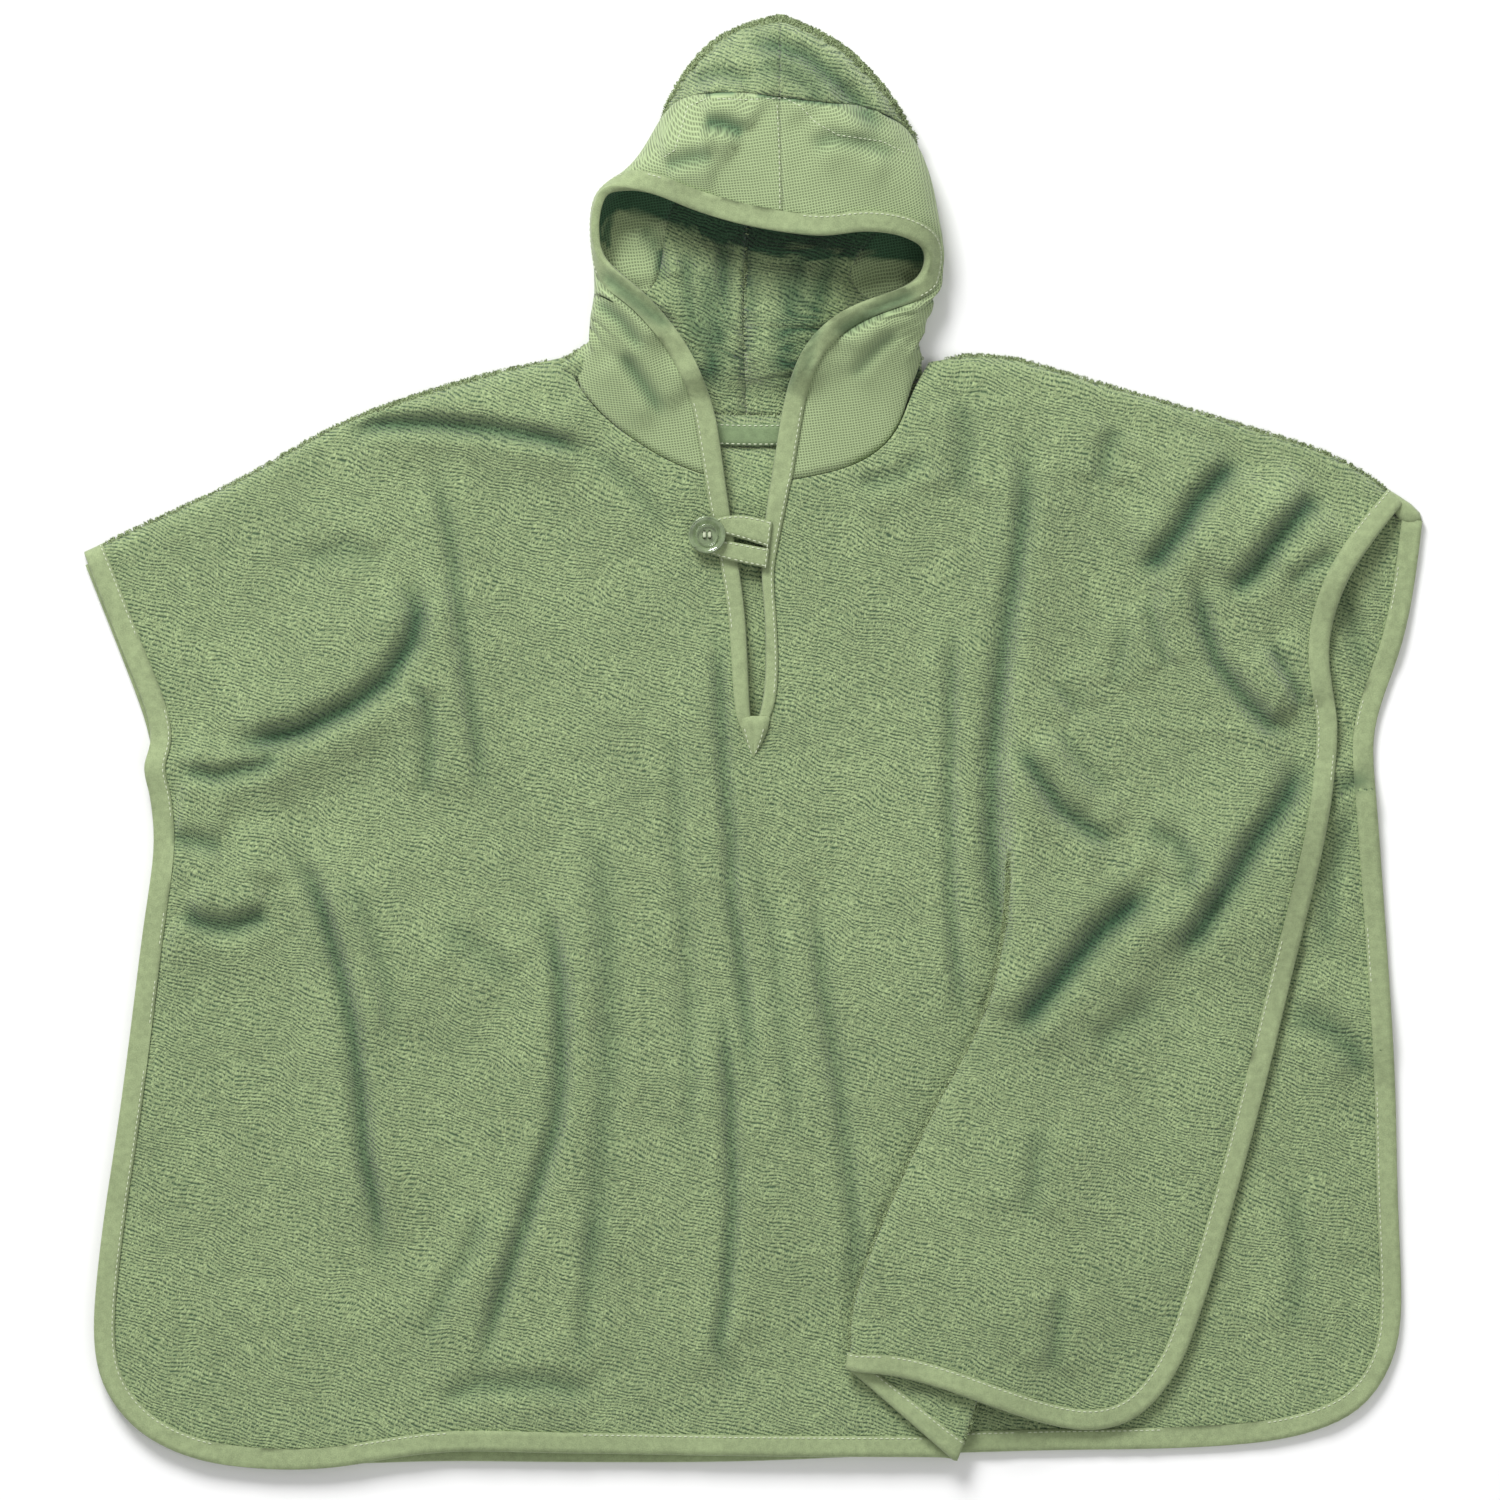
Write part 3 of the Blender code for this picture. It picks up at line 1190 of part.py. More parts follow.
def rim_stations(rows, neck_ring):
    """Stations of the binding along the rim, and their direction into the hood."""
    inwards = []
    for k, row in enumerate(rows):
        before, after = rows[max(0, k - 1)], rows[min(len(rows) - 1, k + 1)]
        along = (after[0] - before[0]).normalized()
        if k == 0:
            inward = (neck_ring - row[0]) / TAPE_END
        else:
            inward = (row[1] - row[0]).normalized()
            inward = inward / max(LEAST_SKEW, inward.cross(along).length)
        inwards.append(inward)
    middles = [row[0] + inward * TAPE_WIDTH / 2 for row, inward in zip(rows, inwards)]
    stations = []
    for k, (row, inward) in enumerate(zip(rows, inwards)):
        along = middles[min(len(rows) - 1, k + 1)] - middles[max(0, k - 1)]
        normal = inward.cross(along).normalized()
        stations.append(EdgeStation(row[0], inward, normal, TAPE_WIDTH))
    return stations


def build_hood_half(side, rows_table, neck, back_places, terry, waffle):
    sign = -1.0 if side == "left" else 1.0
    sections = [neck_section(neck, back_places, sign)]
    sections += [hood_section(row)
                 for row in refined(list(rows_table) + [HOOD_TOP], HOOD_ROWS_PER_SECTION)]
    rows = [[rim] + band + crown for rim, band, crown in sections]
    rows.insert(1, [mix(a, b, 0.5) for a, b in zip(rows[0], rows[1])])
    for row in rows:
        row[-1].x += sign * GAP / 2
        for point in row[1:]:
            point.z = max(point.z, BACK_MID)
    for point in rows[-1]:
        point.x += sign * GAP / 2
    neck_ring = neck.at(TAPE_END)
    neck_ring.z = NECK_MID
    neck_ring -= left_of(neck.tangent(TAPE_END)) * -sign * GAP / 2
    stations = rim_stations(rows, neck_ring)
    for k in range(1, len(rows)):
        rows[k][1] = rows[k][0] + stations[k].inward * FULL_CLOTH
        rows[k][1].z = max(rows[k][1].z, BACK_MID)

    normals = grid_normals(rows)
    seam = 1 + BAND_COLUMNS
    upright = Vector((0.0, 0.0, 1.0))
    for k, line in enumerate(normals):
        line[-1] = upright if line[-1].z > 0 else -upright
        for c, point in enumerate(rows[k]):
            if c > seam and point.z < BACK_MID + LYING and abs(line[c].z) > 0.5:
                line[c] = upright if line[c].z > 0 else -upright
    for c in range(len(normals[0])):
        if c < seam:
            normals[0][c] = upright if normals[1][c].z > 0 else -upright
        normals[-1][c] = Vector((0.0, normals[-1][c].y, normals[-1][c].z)).normalized()
    for k, (row, line) in enumerate(zip(rows, normals)):
        shared = (line[seam] + line[seam + 1]).normalized()
        line[seam] = line[seam + 1] = shared
        if k == 0:
            continue
        across = row[seam + 2] - row[seam - 1]
        across = (across - shared * across.dot(shared)).normalized()
        middle = (row[seam] + row[seam + 1]) / 2
        row[seam] = middle - across * SEAM_GAP / 2
        row[seam + 1] = middle + across * SEAM_GAP / 2

    band_cloth = Cloth("hood_band_" + side)
    crown_cloth = Cloth("hood_crown_" + side)
    turned = 1.0 if side == "left" else -1.0
    for k, (row, line, station) in enumerate(zip(rows, normals, stations)):
        facing = station.normal
        if facing.dot(line[1]) < 0.0:
            facing = -facing
        for number, offset in ((-2, EDGE_INSET), (-1, TAPE_END)):
            band_cloth.add((k, number), row[0] + station.inward * offset,
                           EDGE_IN_TAPE / 2, facing * turned)
        for c in range(BAND_COLUMNS + 1):
            band_cloth.add((k, c), row[1 + c], WAFFLE / 2, line[1 + c] * turned)
        for c in range(CROWN_COLUMNS + 1):
            half = TERRY / 2
            if c == 0 or (k == 0 and c <= 2) or k == len(rows) - 1:
                half = PRESSED_SEAM / 2
            crown_cloth.add((k, c), row[seam + 1 + c], half, line[seam + 1 + c] * turned)
    for cloth, first, count in ((band_cloth, -2, BAND_COLUMNS), (crown_cloth, 0, CROWN_COLUMNS)):
        for k in range(len(rows) - 1):
            for c in range(first, count):
                near, far, far_in, near_in = (k, c), (k + 1, c), (k + 1, c + 1), (k, c + 1)
                if c > first and side == "left":
                    cloth.face(near, far, far_in, near_in)
                elif c > first:
                    cloth.face(near, near_in, far_in, far)
                elif side == "left":
                    cloth.face(near, far, far_in)
                    cloth.face(near, far_in, near_in)
                else:
                    cloth.face(near, near_in, far)
                    cloth.face(far, near_in, far_in)
    band_cloth.solid(waffle)
    crown_cloth.solid(terry)
    return stations


def build_hood(slit_sides, terry, waffle, tape):
    back_left, back_right = back_neck_places()
    left = build_hood_half("left", HOOD, Curve(LEFT_NECKLINE[::-1]), back_left, terry, waffle)
    right = build_hood_half("right", HOOD_RIGHT, Curve(RIGHT_NECKLINE[::-1]),
                            back_right[::-1], terry, waffle)
    route = [(*place, None) for place in reversed(slit_sides["left"])]
    route += [(station.point, station.inward, station.width, -station.normal)
              for station in left]
    route += [(station.point, station.inward, station.width, station.normal)
              for station in reversed(right[:-1])]
    route += [(*place, None) for place in slit_sides["right"]]
    stations = []
    for index, (point, inward, width, normal) in enumerate(route):
        if normal is None:
            before = route[max(0, index - 1)]
            after = route[min(len(route) - 1, index + 1)]
            tangent = (after[0] + after[1] * TAPE_WIDTH / 2
                       - before[0] - before[1] * TAPE_WIDTH / 2)
            normal = tangent.cross(inward).normalized()
        stations.append(EdgeStation(point, inward, normal, width))
    binding("opening_binding", stations, tape)


# ---------------------------------------------------------------------------
# Neck tape, loop and button
# ---------------------------------------------------------------------------
NECK_TAPE_DROP = 4.5        # below the back neck seam
NECK_TAPE_THICK = 1.2


def build_neck_tape(material):
    curve = Curve(BACK_NECKLINE)
    cloth = Cloth("neck_tape")
    count = 20
    for k in range(count + 1):
        along = mix(22.0, curve.length - 22.0, k / count)
        way = -left_of(curve.tangent(along))
        for c, drop in enumerate((NECK_TAPE_DROP, NECK_TAPE_DROP + 11.0)):
            point = curve.at(along) + way * drop
            point.z = TERRY + GAP + NECK_TAPE_THICK / 2
            cloth.add((k, c), point, NECK_TAPE_THICK / 2, Vector((0, 0, 1)))
    for k in range(count):
        cloth.face((k, 1), (k + 1, 1), (k + 1, 0), (k, 0))
    cloth.solid(material)


# The loop's two edges as seen from above, from the upper strip's sewn end round the
# button's stem to the lower strip's sewn end
LoopRow = namedtuple("LoopRow", "outer_x outer_y inner_x inner_y")
LOOP = [LoopRow(*row) for row in (
    (10.0, 111.5, 8.5, 98.8), (4.0, 113.3, 3.5, 100.4), (-5.0, 115.0, -5.5, 103.2),
    (-13.0, 114.6, -13.0, 105.4), (-20.0, 112.5, -19.0, 106.0), (-26.0, 109.0, -21.5, 105.2),
    (-28.0, 104.0, -22.0, 104.0), (-26.0, 98.5, -21.0, 102.8), (-19.0, 94.5, -13.0, 102.0),
    (-10.0, 92.0, -5.0, 100.6), (-2.0, 90.2, 3.0, 99.0), (7.5, 88.5, 8.5, 98.0))]
LOOP_THICK = 1.4


LOOP_REACH = (84.0, 118.0)      # part of the slit that the loop spans


def loop_underside(slit_sides):
    """Height just above the slit's binding where the loop crosses it."""
    heights = [point.z for column in slit_sides.values() for point, inward, width in column
               if LOOP_REACH[0] <= point.y <= LOOP_REACH[1]]
    return max(heights) + TAPE_HALF + 2 * GAP


def build_loop(underside, material):
    cloth = Cloth("button_loop")
    middle = underside + LOOP_THICK / 2
    for k, row in enumerate(LOOP):
        cloth.add((k, 0), Vector((row.outer_x, row.outer_y, middle)), LOOP_THICK / 2,
                  Vector((0, 0, 1)))
        cloth.add((k, 1), Vector((row.inner_x, row.inner_y, middle)), LOOP_THICK / 2,
                  Vector((0, 0, 1)))
    for k in range(len(LOOP) - 1):
        cloth.face((k, 0), (k + 1, 0), (k + 1, 1), (k, 1))
    cloth.solid(material)


# Button half section: (share of the radius, share of the thickness)
BUTTON_SECTION = ((0.0, 0.0), (0.72, 0.0), (0.93, 0.2), (1.0, 0.5), (0.98, 0.85),
                  (0.92, 1.0), (0.82, 0.97), (0.7, 0.66), (0.55, 0.52), (0.0, 0.48))
BUTTON_SIDES = 24
BUTTON_HOLES = 4
HOLE_RADIUS = 1.0
HOLE_SPACING = 2.6


def build_button(base, material):
    points, faces = [], []
    rings = BUTTON_SECTION[1:-1]
    for out, up in rings:
        for side in range(BUTTON_SIDES):
            angle = 2 * math.pi * side / BUTTON_SIDES
            points.append(Vector((BUTTON_AT.x + BUTTON_RADIUS * out * math.cos(angle),
                                  BUTTON_AT.y + BUTTON_RADIUS * out * math.sin(angle),
                                  base + BUTTON_THICK * up)))
    for ring in range(len(rings) - 1):
        for side in range(BUTTON_SIDES):
            a = ring * BUTTON_SIDES + side
            b = ring * BUTTON_SIDES + (side + 1) % BUTTON_SIDES
            faces.append([a, b, b + BUTTON_SIDES, a + BUTTON_SIDES])
    faces.append(list(range(BUTTON_SIDES))[::-1])
    faces.append([(len(rings) - 1) * BUTTON_SIDES + side for side in range(BUTTON_SIDES)])
    disc = make_object("button", points, faces, material)
    face_outward(disc)
    for number in range(BUTTON_HOLES):
        angle = math.pi / 4 + 2 * math.pi * number / BUTTON_HOLES
        centre = Vector((BUTTON_AT.x + HOLE_SPACING / math.sqrt(2) * math.cos(angle),
                         BUTTON_AT.y + HOLE_SPACING / math.sqrt(2) * math.sin(angle), base))
        cutter = hole_cutter("button_hole_%d" % number, centre)
        cut = disc.modifiers.new("hole_%d" % number, "BOOLEAN")
        cut.operation = "DIFFERENCE"
        cut.object = cutter


def hole_cutter(name, centre):
    sides = 6
    points, faces = [], []
    for level in (-2.0, BUTTON_THICK + 2.0):
        for side in range(sides):
            angle = 2 * math.pi * side / sides
            points.append(centre + Vector((HOLE_RADIUS * math.cos(angle),
                                           HOLE_RADIUS * math.sin(angle), level)))
    for side in range(sides):
        other = (side + 1) % sides
        faces.append([side, other, other + sides, side + sides])
    faces.append(list(range(sides))[::-1])
    faces.append([side + sides for side in range(sides)])
    cutter = make_object(name, points, faces, bpy.data.materials["button_plastic"], smooth=False)
    cutter.hide_render = True
    cutter.display_type = "WIRE"
    return cutter


# ---------------------------------------------------------------------------
# The whole garment
# ---------------------------------------------------------------------------
def clear_scene():
    for item in list(bpy.data.objects):
        bpy.data.objects.remove(item, do_unlink=True)


def main():
    clear_scene()
    terry = make_material("terry", (0.28, 0.36, 0.19), 0.95)
    waffle = make_material("waffle_weave", (0.33, 0.41, 0.22), 0.9)
    tape = make_material("binding_tape", (0.32, 0.40, 0.20), 0.8)
    plastic = make_material("button_plastic", (0.30, 0.38, 0.22), 0.2)
    slit_sides = build_front(terry, tape)
    build_back(terry, tape)
    build_hood(slit_sides, terry, waffle, tape)
    build_neck_tape(tape)
    underside = loop_underside(slit_sides)
    build_loop(underside, tape)
    build_button(underside + LOOP_THICK + GAP, plastic)


main()
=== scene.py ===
"""Surf poncho laid flat: the cloth, waffle hood bands, bound edges, stitches, button and loop.

Lengths are in metres unless a name says mm. Folds are placed on a grid of half millimetres
that runs right and down from the top left corner of the view.
"""

import math
import random
from collections import namedtuple

import bmesh
import bpy
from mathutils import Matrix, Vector, noise
from mathutils.bvhtree import BVHTree


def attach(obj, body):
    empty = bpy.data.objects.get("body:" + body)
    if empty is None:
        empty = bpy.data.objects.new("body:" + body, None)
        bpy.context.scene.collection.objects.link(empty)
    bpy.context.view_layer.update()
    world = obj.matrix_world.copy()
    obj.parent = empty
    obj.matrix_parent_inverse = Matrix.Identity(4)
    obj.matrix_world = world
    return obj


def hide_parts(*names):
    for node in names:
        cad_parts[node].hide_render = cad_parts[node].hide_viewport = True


bl_info = {
    "name": "Surf poncho",
    "version": (1, 0, 0),
    "blender": (4, 5, 0),
    "location": "View3D > Sidebar > Poncho",
    "description": "Builds a hooded terry poncho laid flat around its packed model",
    "category": "Object",
}

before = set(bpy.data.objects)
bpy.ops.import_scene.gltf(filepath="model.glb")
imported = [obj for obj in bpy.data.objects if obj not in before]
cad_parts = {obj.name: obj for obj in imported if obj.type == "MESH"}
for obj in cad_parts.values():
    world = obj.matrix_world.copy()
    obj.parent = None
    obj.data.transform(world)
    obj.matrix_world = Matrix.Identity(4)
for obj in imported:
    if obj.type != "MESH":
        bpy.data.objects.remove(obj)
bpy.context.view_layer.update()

MM = 0.001
GRID = 0.5 * MM
GRID_MIDDLE = (753.44, 743.18)    # grid point that lies on the origin
UP = Vector((0.0, 0.0, 1.0))
HIGH_ABOVE = UP * 0.2             # where a ray that falls on the cloth starts

BODY = "root"
BODY_CLOTHS = ("front_cloth", "back_cloth")
CROWN_CLOTHS = ("crown_left_cloth", "crown_right_cloth")
BAND_CLOTHS = ("band_left_cloth", "band_right_cloth")
HOOD_CLOTHS = CROWN_CLOTHS + BAND_CLOTHS
CLOTHS = BODY_CLOTHS + HOOD_CLOTHS


def on_cloth(column, row):
    """Place of a grid point on the plan, in metres."""
    return Vector(((column - GRID_MIDDLE[0]) * GRID, (GRID_MIDDLE[1] - row) * GRID, 0.0))


# ---- Folds ----

# A fold is a trough with the cloth raised on both sides of it, and a ridge is a crest. Each
# has half its width and its height in mm, and the grid points that it runs through.
Fold = namedtuple("Fold", "half_width height points")
Ridge = namedtuple("Ridge", "half_width height points")

FRONT_FOLDS = (
    Fold(5.0, 2.2, ((431, 455), (450, 536), (459, 611), (469, 686), (478, 755), (488, 815))),
    Fold(7.0, 4.2, ((406, 570), (418, 615), (412, 642), (387, 680), (350, 708), (300, 732),
                    (222, 748))),
    Fold(5.0, 2.2, ((407, 680), (428, 705), (430, 755), (424, 800))),
    Fold(5.5, 3.0, ((176, 768), (215, 776), (262, 766), (285, 752))),
    Fold(5.5, 3.4, ((282, 836), (312, 880), (325, 917), (341, 974), (353, 1030), (360, 1090),
                    (364, 1150), (376, 1210), (384, 1280))),
    Fold(6.5, 3.6, ((178, 908), (200, 922), (228, 927), (276, 912))),
    Fold(6.0, 2.6, ((170, 836), (200, 842), (226, 846))),
    Fold(5.5, 3.0, ((526, 880), (550, 924), (561, 986), (561, 1080), (555, 1130), (526, 1220),
                    (506, 1280), (490, 1330), (478, 1392))),
    Fold(5.0, 1.2, ((675, 700), (676, 830), (687, 955), (690, 1080), (686, 1180))),
    Fold(5.0, 2.4, ((717, 600), (720, 700), (724, 775), (731, 840), (731, 892), (740, 960),
                    (748, 1040), (752, 1110))),
    Fold(4.5, 2.8, ((720, 990), (730, 1090), (733, 1200), (726, 1300), (718, 1345), (740, 1398))),
    Fold(8.0, 1.6, ((587, 800), (600, 860), (606, 930), (609, 1050), (598, 1180), (595, 1320))),
    Fold(5.5, 1.2, ((745, 835), (772, 930), (785, 1050), (798, 1160))),
    Fold(5.5, 2.0, ((812, 880), (822, 980), (838, 1080), (850, 1180), (855, 1240), (850, 1330))),
    Fold(6.0, 1.3, ((344, 870), (372, 930), (386, 985), (392, 1050))),
    Fold(8.0, 1.4, ((440, 924), (480, 950), (516, 978))),
    Fold(6.5, 1.4, ((592, 448), (637, 492), (668, 530))),
    Fold(5.5, 1.5, ((487, 1200), (470, 1250), (446, 1290), (420, 1345))),
    Fold(7.0, 2.0, ((430, 1402), (480, 1384), (545, 1382), (600, 1392))),
    Fold(5.0, 1.3, ((594, 1200), (587, 1290), (580, 1370))),
    Fold(7.0, 1.3, ((300, 560), (345, 548), (385, 560))),
    Fold(6.5, 3.0, ((1019, 410), (1024, 470), (1024, 505), (1016, 567), (1006, 630), (997, 705),
                    (992, 767), (991, 830), (994, 886), (1001, 942), (1003, 985))),
    Fold(4.5, 2.0, ((953, 600), (950, 705), (949, 799), (950, 892), (953, 930), (959, 1000),
                    (962, 1045))),
    Fold(7.5, 4.4, ((1240, 452), (1222, 476), (1200, 499), (1181, 530), (1158, 559), (1130, 572))),
    Fold(7.5, 4.2, ((1326, 490), (1305, 508), (1281, 536), (1252, 574), (1222, 598))),
    Fold(6.0, 3.4, ((1196, 575), (1203, 622), (1216, 661), (1244, 699), (1269, 725), (1300, 731))),
    Fold(4.5, 2.6, ((1268, 640), (1284, 668), (1296, 690), (1304, 712))),
    Fold(5.5, 2.2, ((1338, 552), (1312, 566), (1288, 586))),
    Fold(4.5, 1.8, ((1146, 595), (1157, 640), (1168, 672))),
    Fold(4.5, 1.3, ((1127, 622), (1118, 660), (1113, 690))),
    Fold(6.0, 3.6, ((1014, 740), (1037, 774), (1060, 808), (1090, 830), (1122, 844))),
    Fold(5.0, 1.6, ((1052, 682), (1072, 702), (1080, 716))),
    Fold(5.5, 1.5, ((1058, 726), (1082, 764), (1110, 790))),
    Fold(6.5, 2.4, ((1140, 826), (1178, 842), (1192, 868), (1180, 892))),
    Fold(8.5, 4.6, ((1160, 884), (1138, 900), (1100, 932), (1064, 974), (1034, 1009), (1008, 1040))),
    Fold(8.0, 4.2, ((1308, 750), (1284, 802), (1252, 847), (1226, 890), (1200, 930), (1164, 966))),
    Fold(9.0, 1.6, ((1090, 1046), (1130, 1018), (1156, 990))),
    Fold(7.0, 1.5, ((1040, 1120), (1036, 1160), (1026, 1220))),
    Fold(5.5, 1.8, ((1062, 1282), (1058, 1330), (1050, 1376))),
    Fold(6.0, 1.5, ((930, 450), (900, 476), (850, 486))),
    Fold(7.0, 1.6, ((960, 395), (966, 440), (958, 500))),
    Fold(5.5, 3.8, ((338, 436), (376, 425), (430, 424), (490, 429), (545, 438), (600, 454))),
    Fold(6.0, 2.0, ((1118, 424), (1106, 452), (1100, 486))),
)
FRONT_RIDGES = (
    Ridge(2.6, 0.9, ((1062, 719), (1130, 726), (1200, 729), (1298, 739))),
    Ridge(11.0, 3.2, ((262, 820), (264, 850), (262, 884))),
    Ridge(12.0, 2.2, ((266, 786), (331, 748), (396, 706))),
    Ridge(14.0, 2.0, ((1110, 965), (1170, 930), (1232, 870))),
    Ridge(12.0, 1.8, ((1240, 560), (1268, 520), (1300, 490))),
    Ridge(10.0, 2.0, ((1160, 600), (1190, 560), (1226, 512))),
    Ridge(14.0, 1.4, ((405, 960), (432, 940), (470, 960))),
    Ridge(12.0, 1.4, ((640, 900), (652, 1000), (655, 1120))),
)
BACK_FOLDS = (
    Fold(7.0, 3.0, ((1284, 1014), (1322, 1022), (1350, 1046), (1366, 1080))),
    Fold(6.0, 2.0, ((1350, 800), (1338, 850), (1330, 900), (1322, 960))),
    Fold(7.0, 1.6, ((1290, 1180), (1300, 1260), (1290, 1340))),
    Fold(4.5, 3.0, ((1312, 804), (1340, 787), (1376, 772))),
    Fold(6.0, 1.6, ((1330, 560), (1352, 620), (1364, 680))),
)
HOOD_FOLDS = (
    Fold(4.5, 2.8, ((686, 246), (688, 300), (698, 352))),
    Fold(5.0, 3.6, ((724, 222), (723, 290), (719, 350), (716, 404))),
    Fold(3.6, 2.2, ((751, 228), (752, 300), (753, 384))),
    Fold(5.0, 3.6, ((800, 226), (797, 290), (790, 344), (785, 402))),
    Fold(4.5, 3.0, ((836, 236), (824, 290), (808, 346))),
    Fold(4.5, 3.0, ((596, 270), (630, 298), (650, 314), (676, 330))),
    Fold(4.5, 2.8, ((618, 350), (640, 380), (664, 416))),
    Fold(4.0, 2.2, ((594, 300), (622, 322), (644, 352))),
    Fold(4.5, 3.0, ((922, 292), (880, 310), (830, 338))),
    Fold(5.0, 4.0, ((700, 124), (724, 126), (736, 131), (746, 138))),
    Fold(5.0, 2.4, ((662, 168), (690, 160), (716, 158))),
    Fold(5.0, 2.0, ((806, 150), (832, 140), (870, 146), (900, 158))),
    Fold(6.0, 3.4, ((740, 44), (776, 48), (806, 58), (832, 80), (858, 106), (888, 138))),
    Fold(6.0, 2.2, ((752, 66), (790, 74), (812, 90), (826, 112))),
    Fold(4.5, 2.0, ((690, 82), (720, 74), (752, 82))),
    Fold(4.0, 2.2, ((640, 222), (658, 250), (664, 284))),
    Fold(4.0, 1.6, ((900, 330), (876, 350), (850, 380))),
    Fold(4.0, 2.6, ((708, 258), (706, 320), (712, 392))),
    Fold(4.0, 2.4, ((783, 258), (785, 320), (778, 392))),
    Fold(4.0, 2.0, ((820, 262), (812, 320), (806, 384))),
)

BANK_REACH = 3.2             # how far the banks run, in half widths of the trough
BANK_GAIN = 2.0
BOX_REACH = 2.2              # how far from its points a line still counts, in bank reaches
END_SHARE = 0.18             # share of its length over which a line starts or ends
CREASE_REACH = 1.9           # the mesh is finer this near a line, in half widths
SHADE_WIDTH = 0.8          # how wide the painted shade along a trough is, in half widths
FULL_SHADE_HEIGHT = 4.6 * MM     # height of a fold whose trough gets the full painted shade

# Stretch across and down, size and height of each kind of unevenness in the cloth
UNEVENNESS = (
    (1.0, 1.0, 75 * MM, 0.9 * MM),
    (1.8, 0.8, 17 * MM, 0.32 * MM),
    (1.0, 1.0, 6 * MM, 0.30 * MM),
)


def smooth(share):
    share = min(1.0, max(0.0, share))
    return share * share * (3.0 - 2.0 * share)


def nearest_on(points, lengths, place):
    """Distance from a place to a line, and how far along the line that is."""
    best, along, run = math.inf, 0.0, 0.0
    for start, end, length in zip(points, points[1:], lengths):
        step = end - start
        share = min(1.0, max(0.0, (place - start).dot(step) / (length * length)))
        distance = (place - start - step * share).length
        if distance < best:
            best, along = distance, run + share * length
        run += length
    return best, along


class Relief:
    """Height added to a cloth, from its folds, ridges and fine unevenness."""

    def __init__(self, folds, ridges=()):
        self.lines = []
        for line in folds + ridges:
            points = [on_cloth(*point) for point in line.points]
            lengths = [(b - a).length for a, b in zip(points, points[1:])]
            width = line.half_width * MM
            reach = width * BANK_REACH * BOX_REACH
            xs, ys = [p.x for p in points], [p.y for p in points]
            box = (min(xs) - reach, max(xs) + reach, min(ys) - reach, max(ys) + reach)
            self.lines.append((points, lengths, width, line.height * MM,
                               isinstance(line, Ridge), box))

    def _lines_near(self, x, y):
        """For each line near a place: share along it, half widths away, height, is a ridge."""
        place = Vector((x, y, 0.0))
        for points, lengths, width, height, is_ridge, box in self.lines:
            if box[0] < x < box[1] and box[2] < y < box[3]:
                distance, along = nearest_on(points, lengths, place)
                yield along / sum(lengths), distance / width, height, is_ridge

    def at(self, x, y):
        """Height added at a place, and how much shade is painted there (0 to 1)."""
        total = pressed = 0.0
        for share, away, height, is_ridge in self._lines_near(x, y):
            height *= smooth(share / END_SHARE) * smooth((1.0 - share) / END_SHARE)
            crest = math.exp(-away ** 2)
            if is_ridge:
                total += height * crest
            else:
                banks = math.exp(-(away / BANK_REACH) ** 2)
                total += height * BANK_GAIN * (1.0 - crest) * banks
                # painted shade along the trough, deeper for a higher fold
                pressed += height / FULL_SHADE_HEIGHT * math.exp(-(away / SHADE_WIDTH) ** 2)
        return total, min(1.0, pressed)

    def is_creased(self, x, y):
        """True where a fold or ridge needs a finer mesh."""
        return any(away < CREASE_REACH for _, away, _, _ in self._lines_near(x, y))


def unevenness(point):
    return sum(noise.noise(Vector((point.x * across, point.y * down, point.z)) / size) * height
               for across, down, size, height in UNEVENNESS)


FRONT_RELIEF = Relief(FRONT_FOLDS, FRONT_RIDGES)
BACK_RELIEF = Relief(BACK_FOLDS)
HOOD_RELIEF = Relief(HOOD_FOLDS)
OPENING_RELIEF = Relief(FRONT_FOLDS + HOOD_FOLDS, FRONT_RIDGES)


# ---- Meshes ----

SHARP = math.radians(50)             # an edge that turns more than this stays an edge
WELD = 0.001 * MM
JOIN_TURN, JOIN_SHAPE = math.radians(70), math.radians(60)
FINE_SPACING = 1.6 * MM
TOP_FACING = 0.4                     # least upward part of a normal that is made finer
LIFT_GAIN = 1.4                      # how soon a face that tilts up is lifted in full
LIFT_CLEAR = 0.4 * MM
LEAST_ROOM, FREE_ROOM = 4 * MM, 14 * MM


def mesh_of(name, points, faces):
    mesh = bpy.data.meshes.new(name)
    mesh.from_pydata(points, [], faces)
    return mesh


def shaded(mesh, angle=SHARP):
    """The mesh, shaded smooth across edges that turn less than the angle."""
    for polygon in mesh.polygons:
        polygon.use_smooth = True
    mesh.set_sharp_from_angle(angle=angle)
    return mesh


def new_object(name, data, surface=None):
    piece = bpy.data.objects.new(name, data)
    bpy.context.scene.collection.objects.link(piece)
    if surface:
        data.materials.clear()
        data.materials.append(surface)
    return piece


def rounded(net, name, levels):
    """The subdivision surface of a net, as a mesh of its own."""
    carrier = new_object(name + "_net", net)
    surface = carrier.modifiers.new("Round", "SUBSURF")
    surface.levels = surface.render_levels = levels
    surface.boundary_smooth = "PRESERVE_CORNERS"
    graph = bpy.context.evaluated_depsgraph_get()
    result = bpy.data.meshes.new_from_object(carrier.evaluated_get(graph))
    bpy.data.objects.remove(carrier)
    result.name = name
    return result


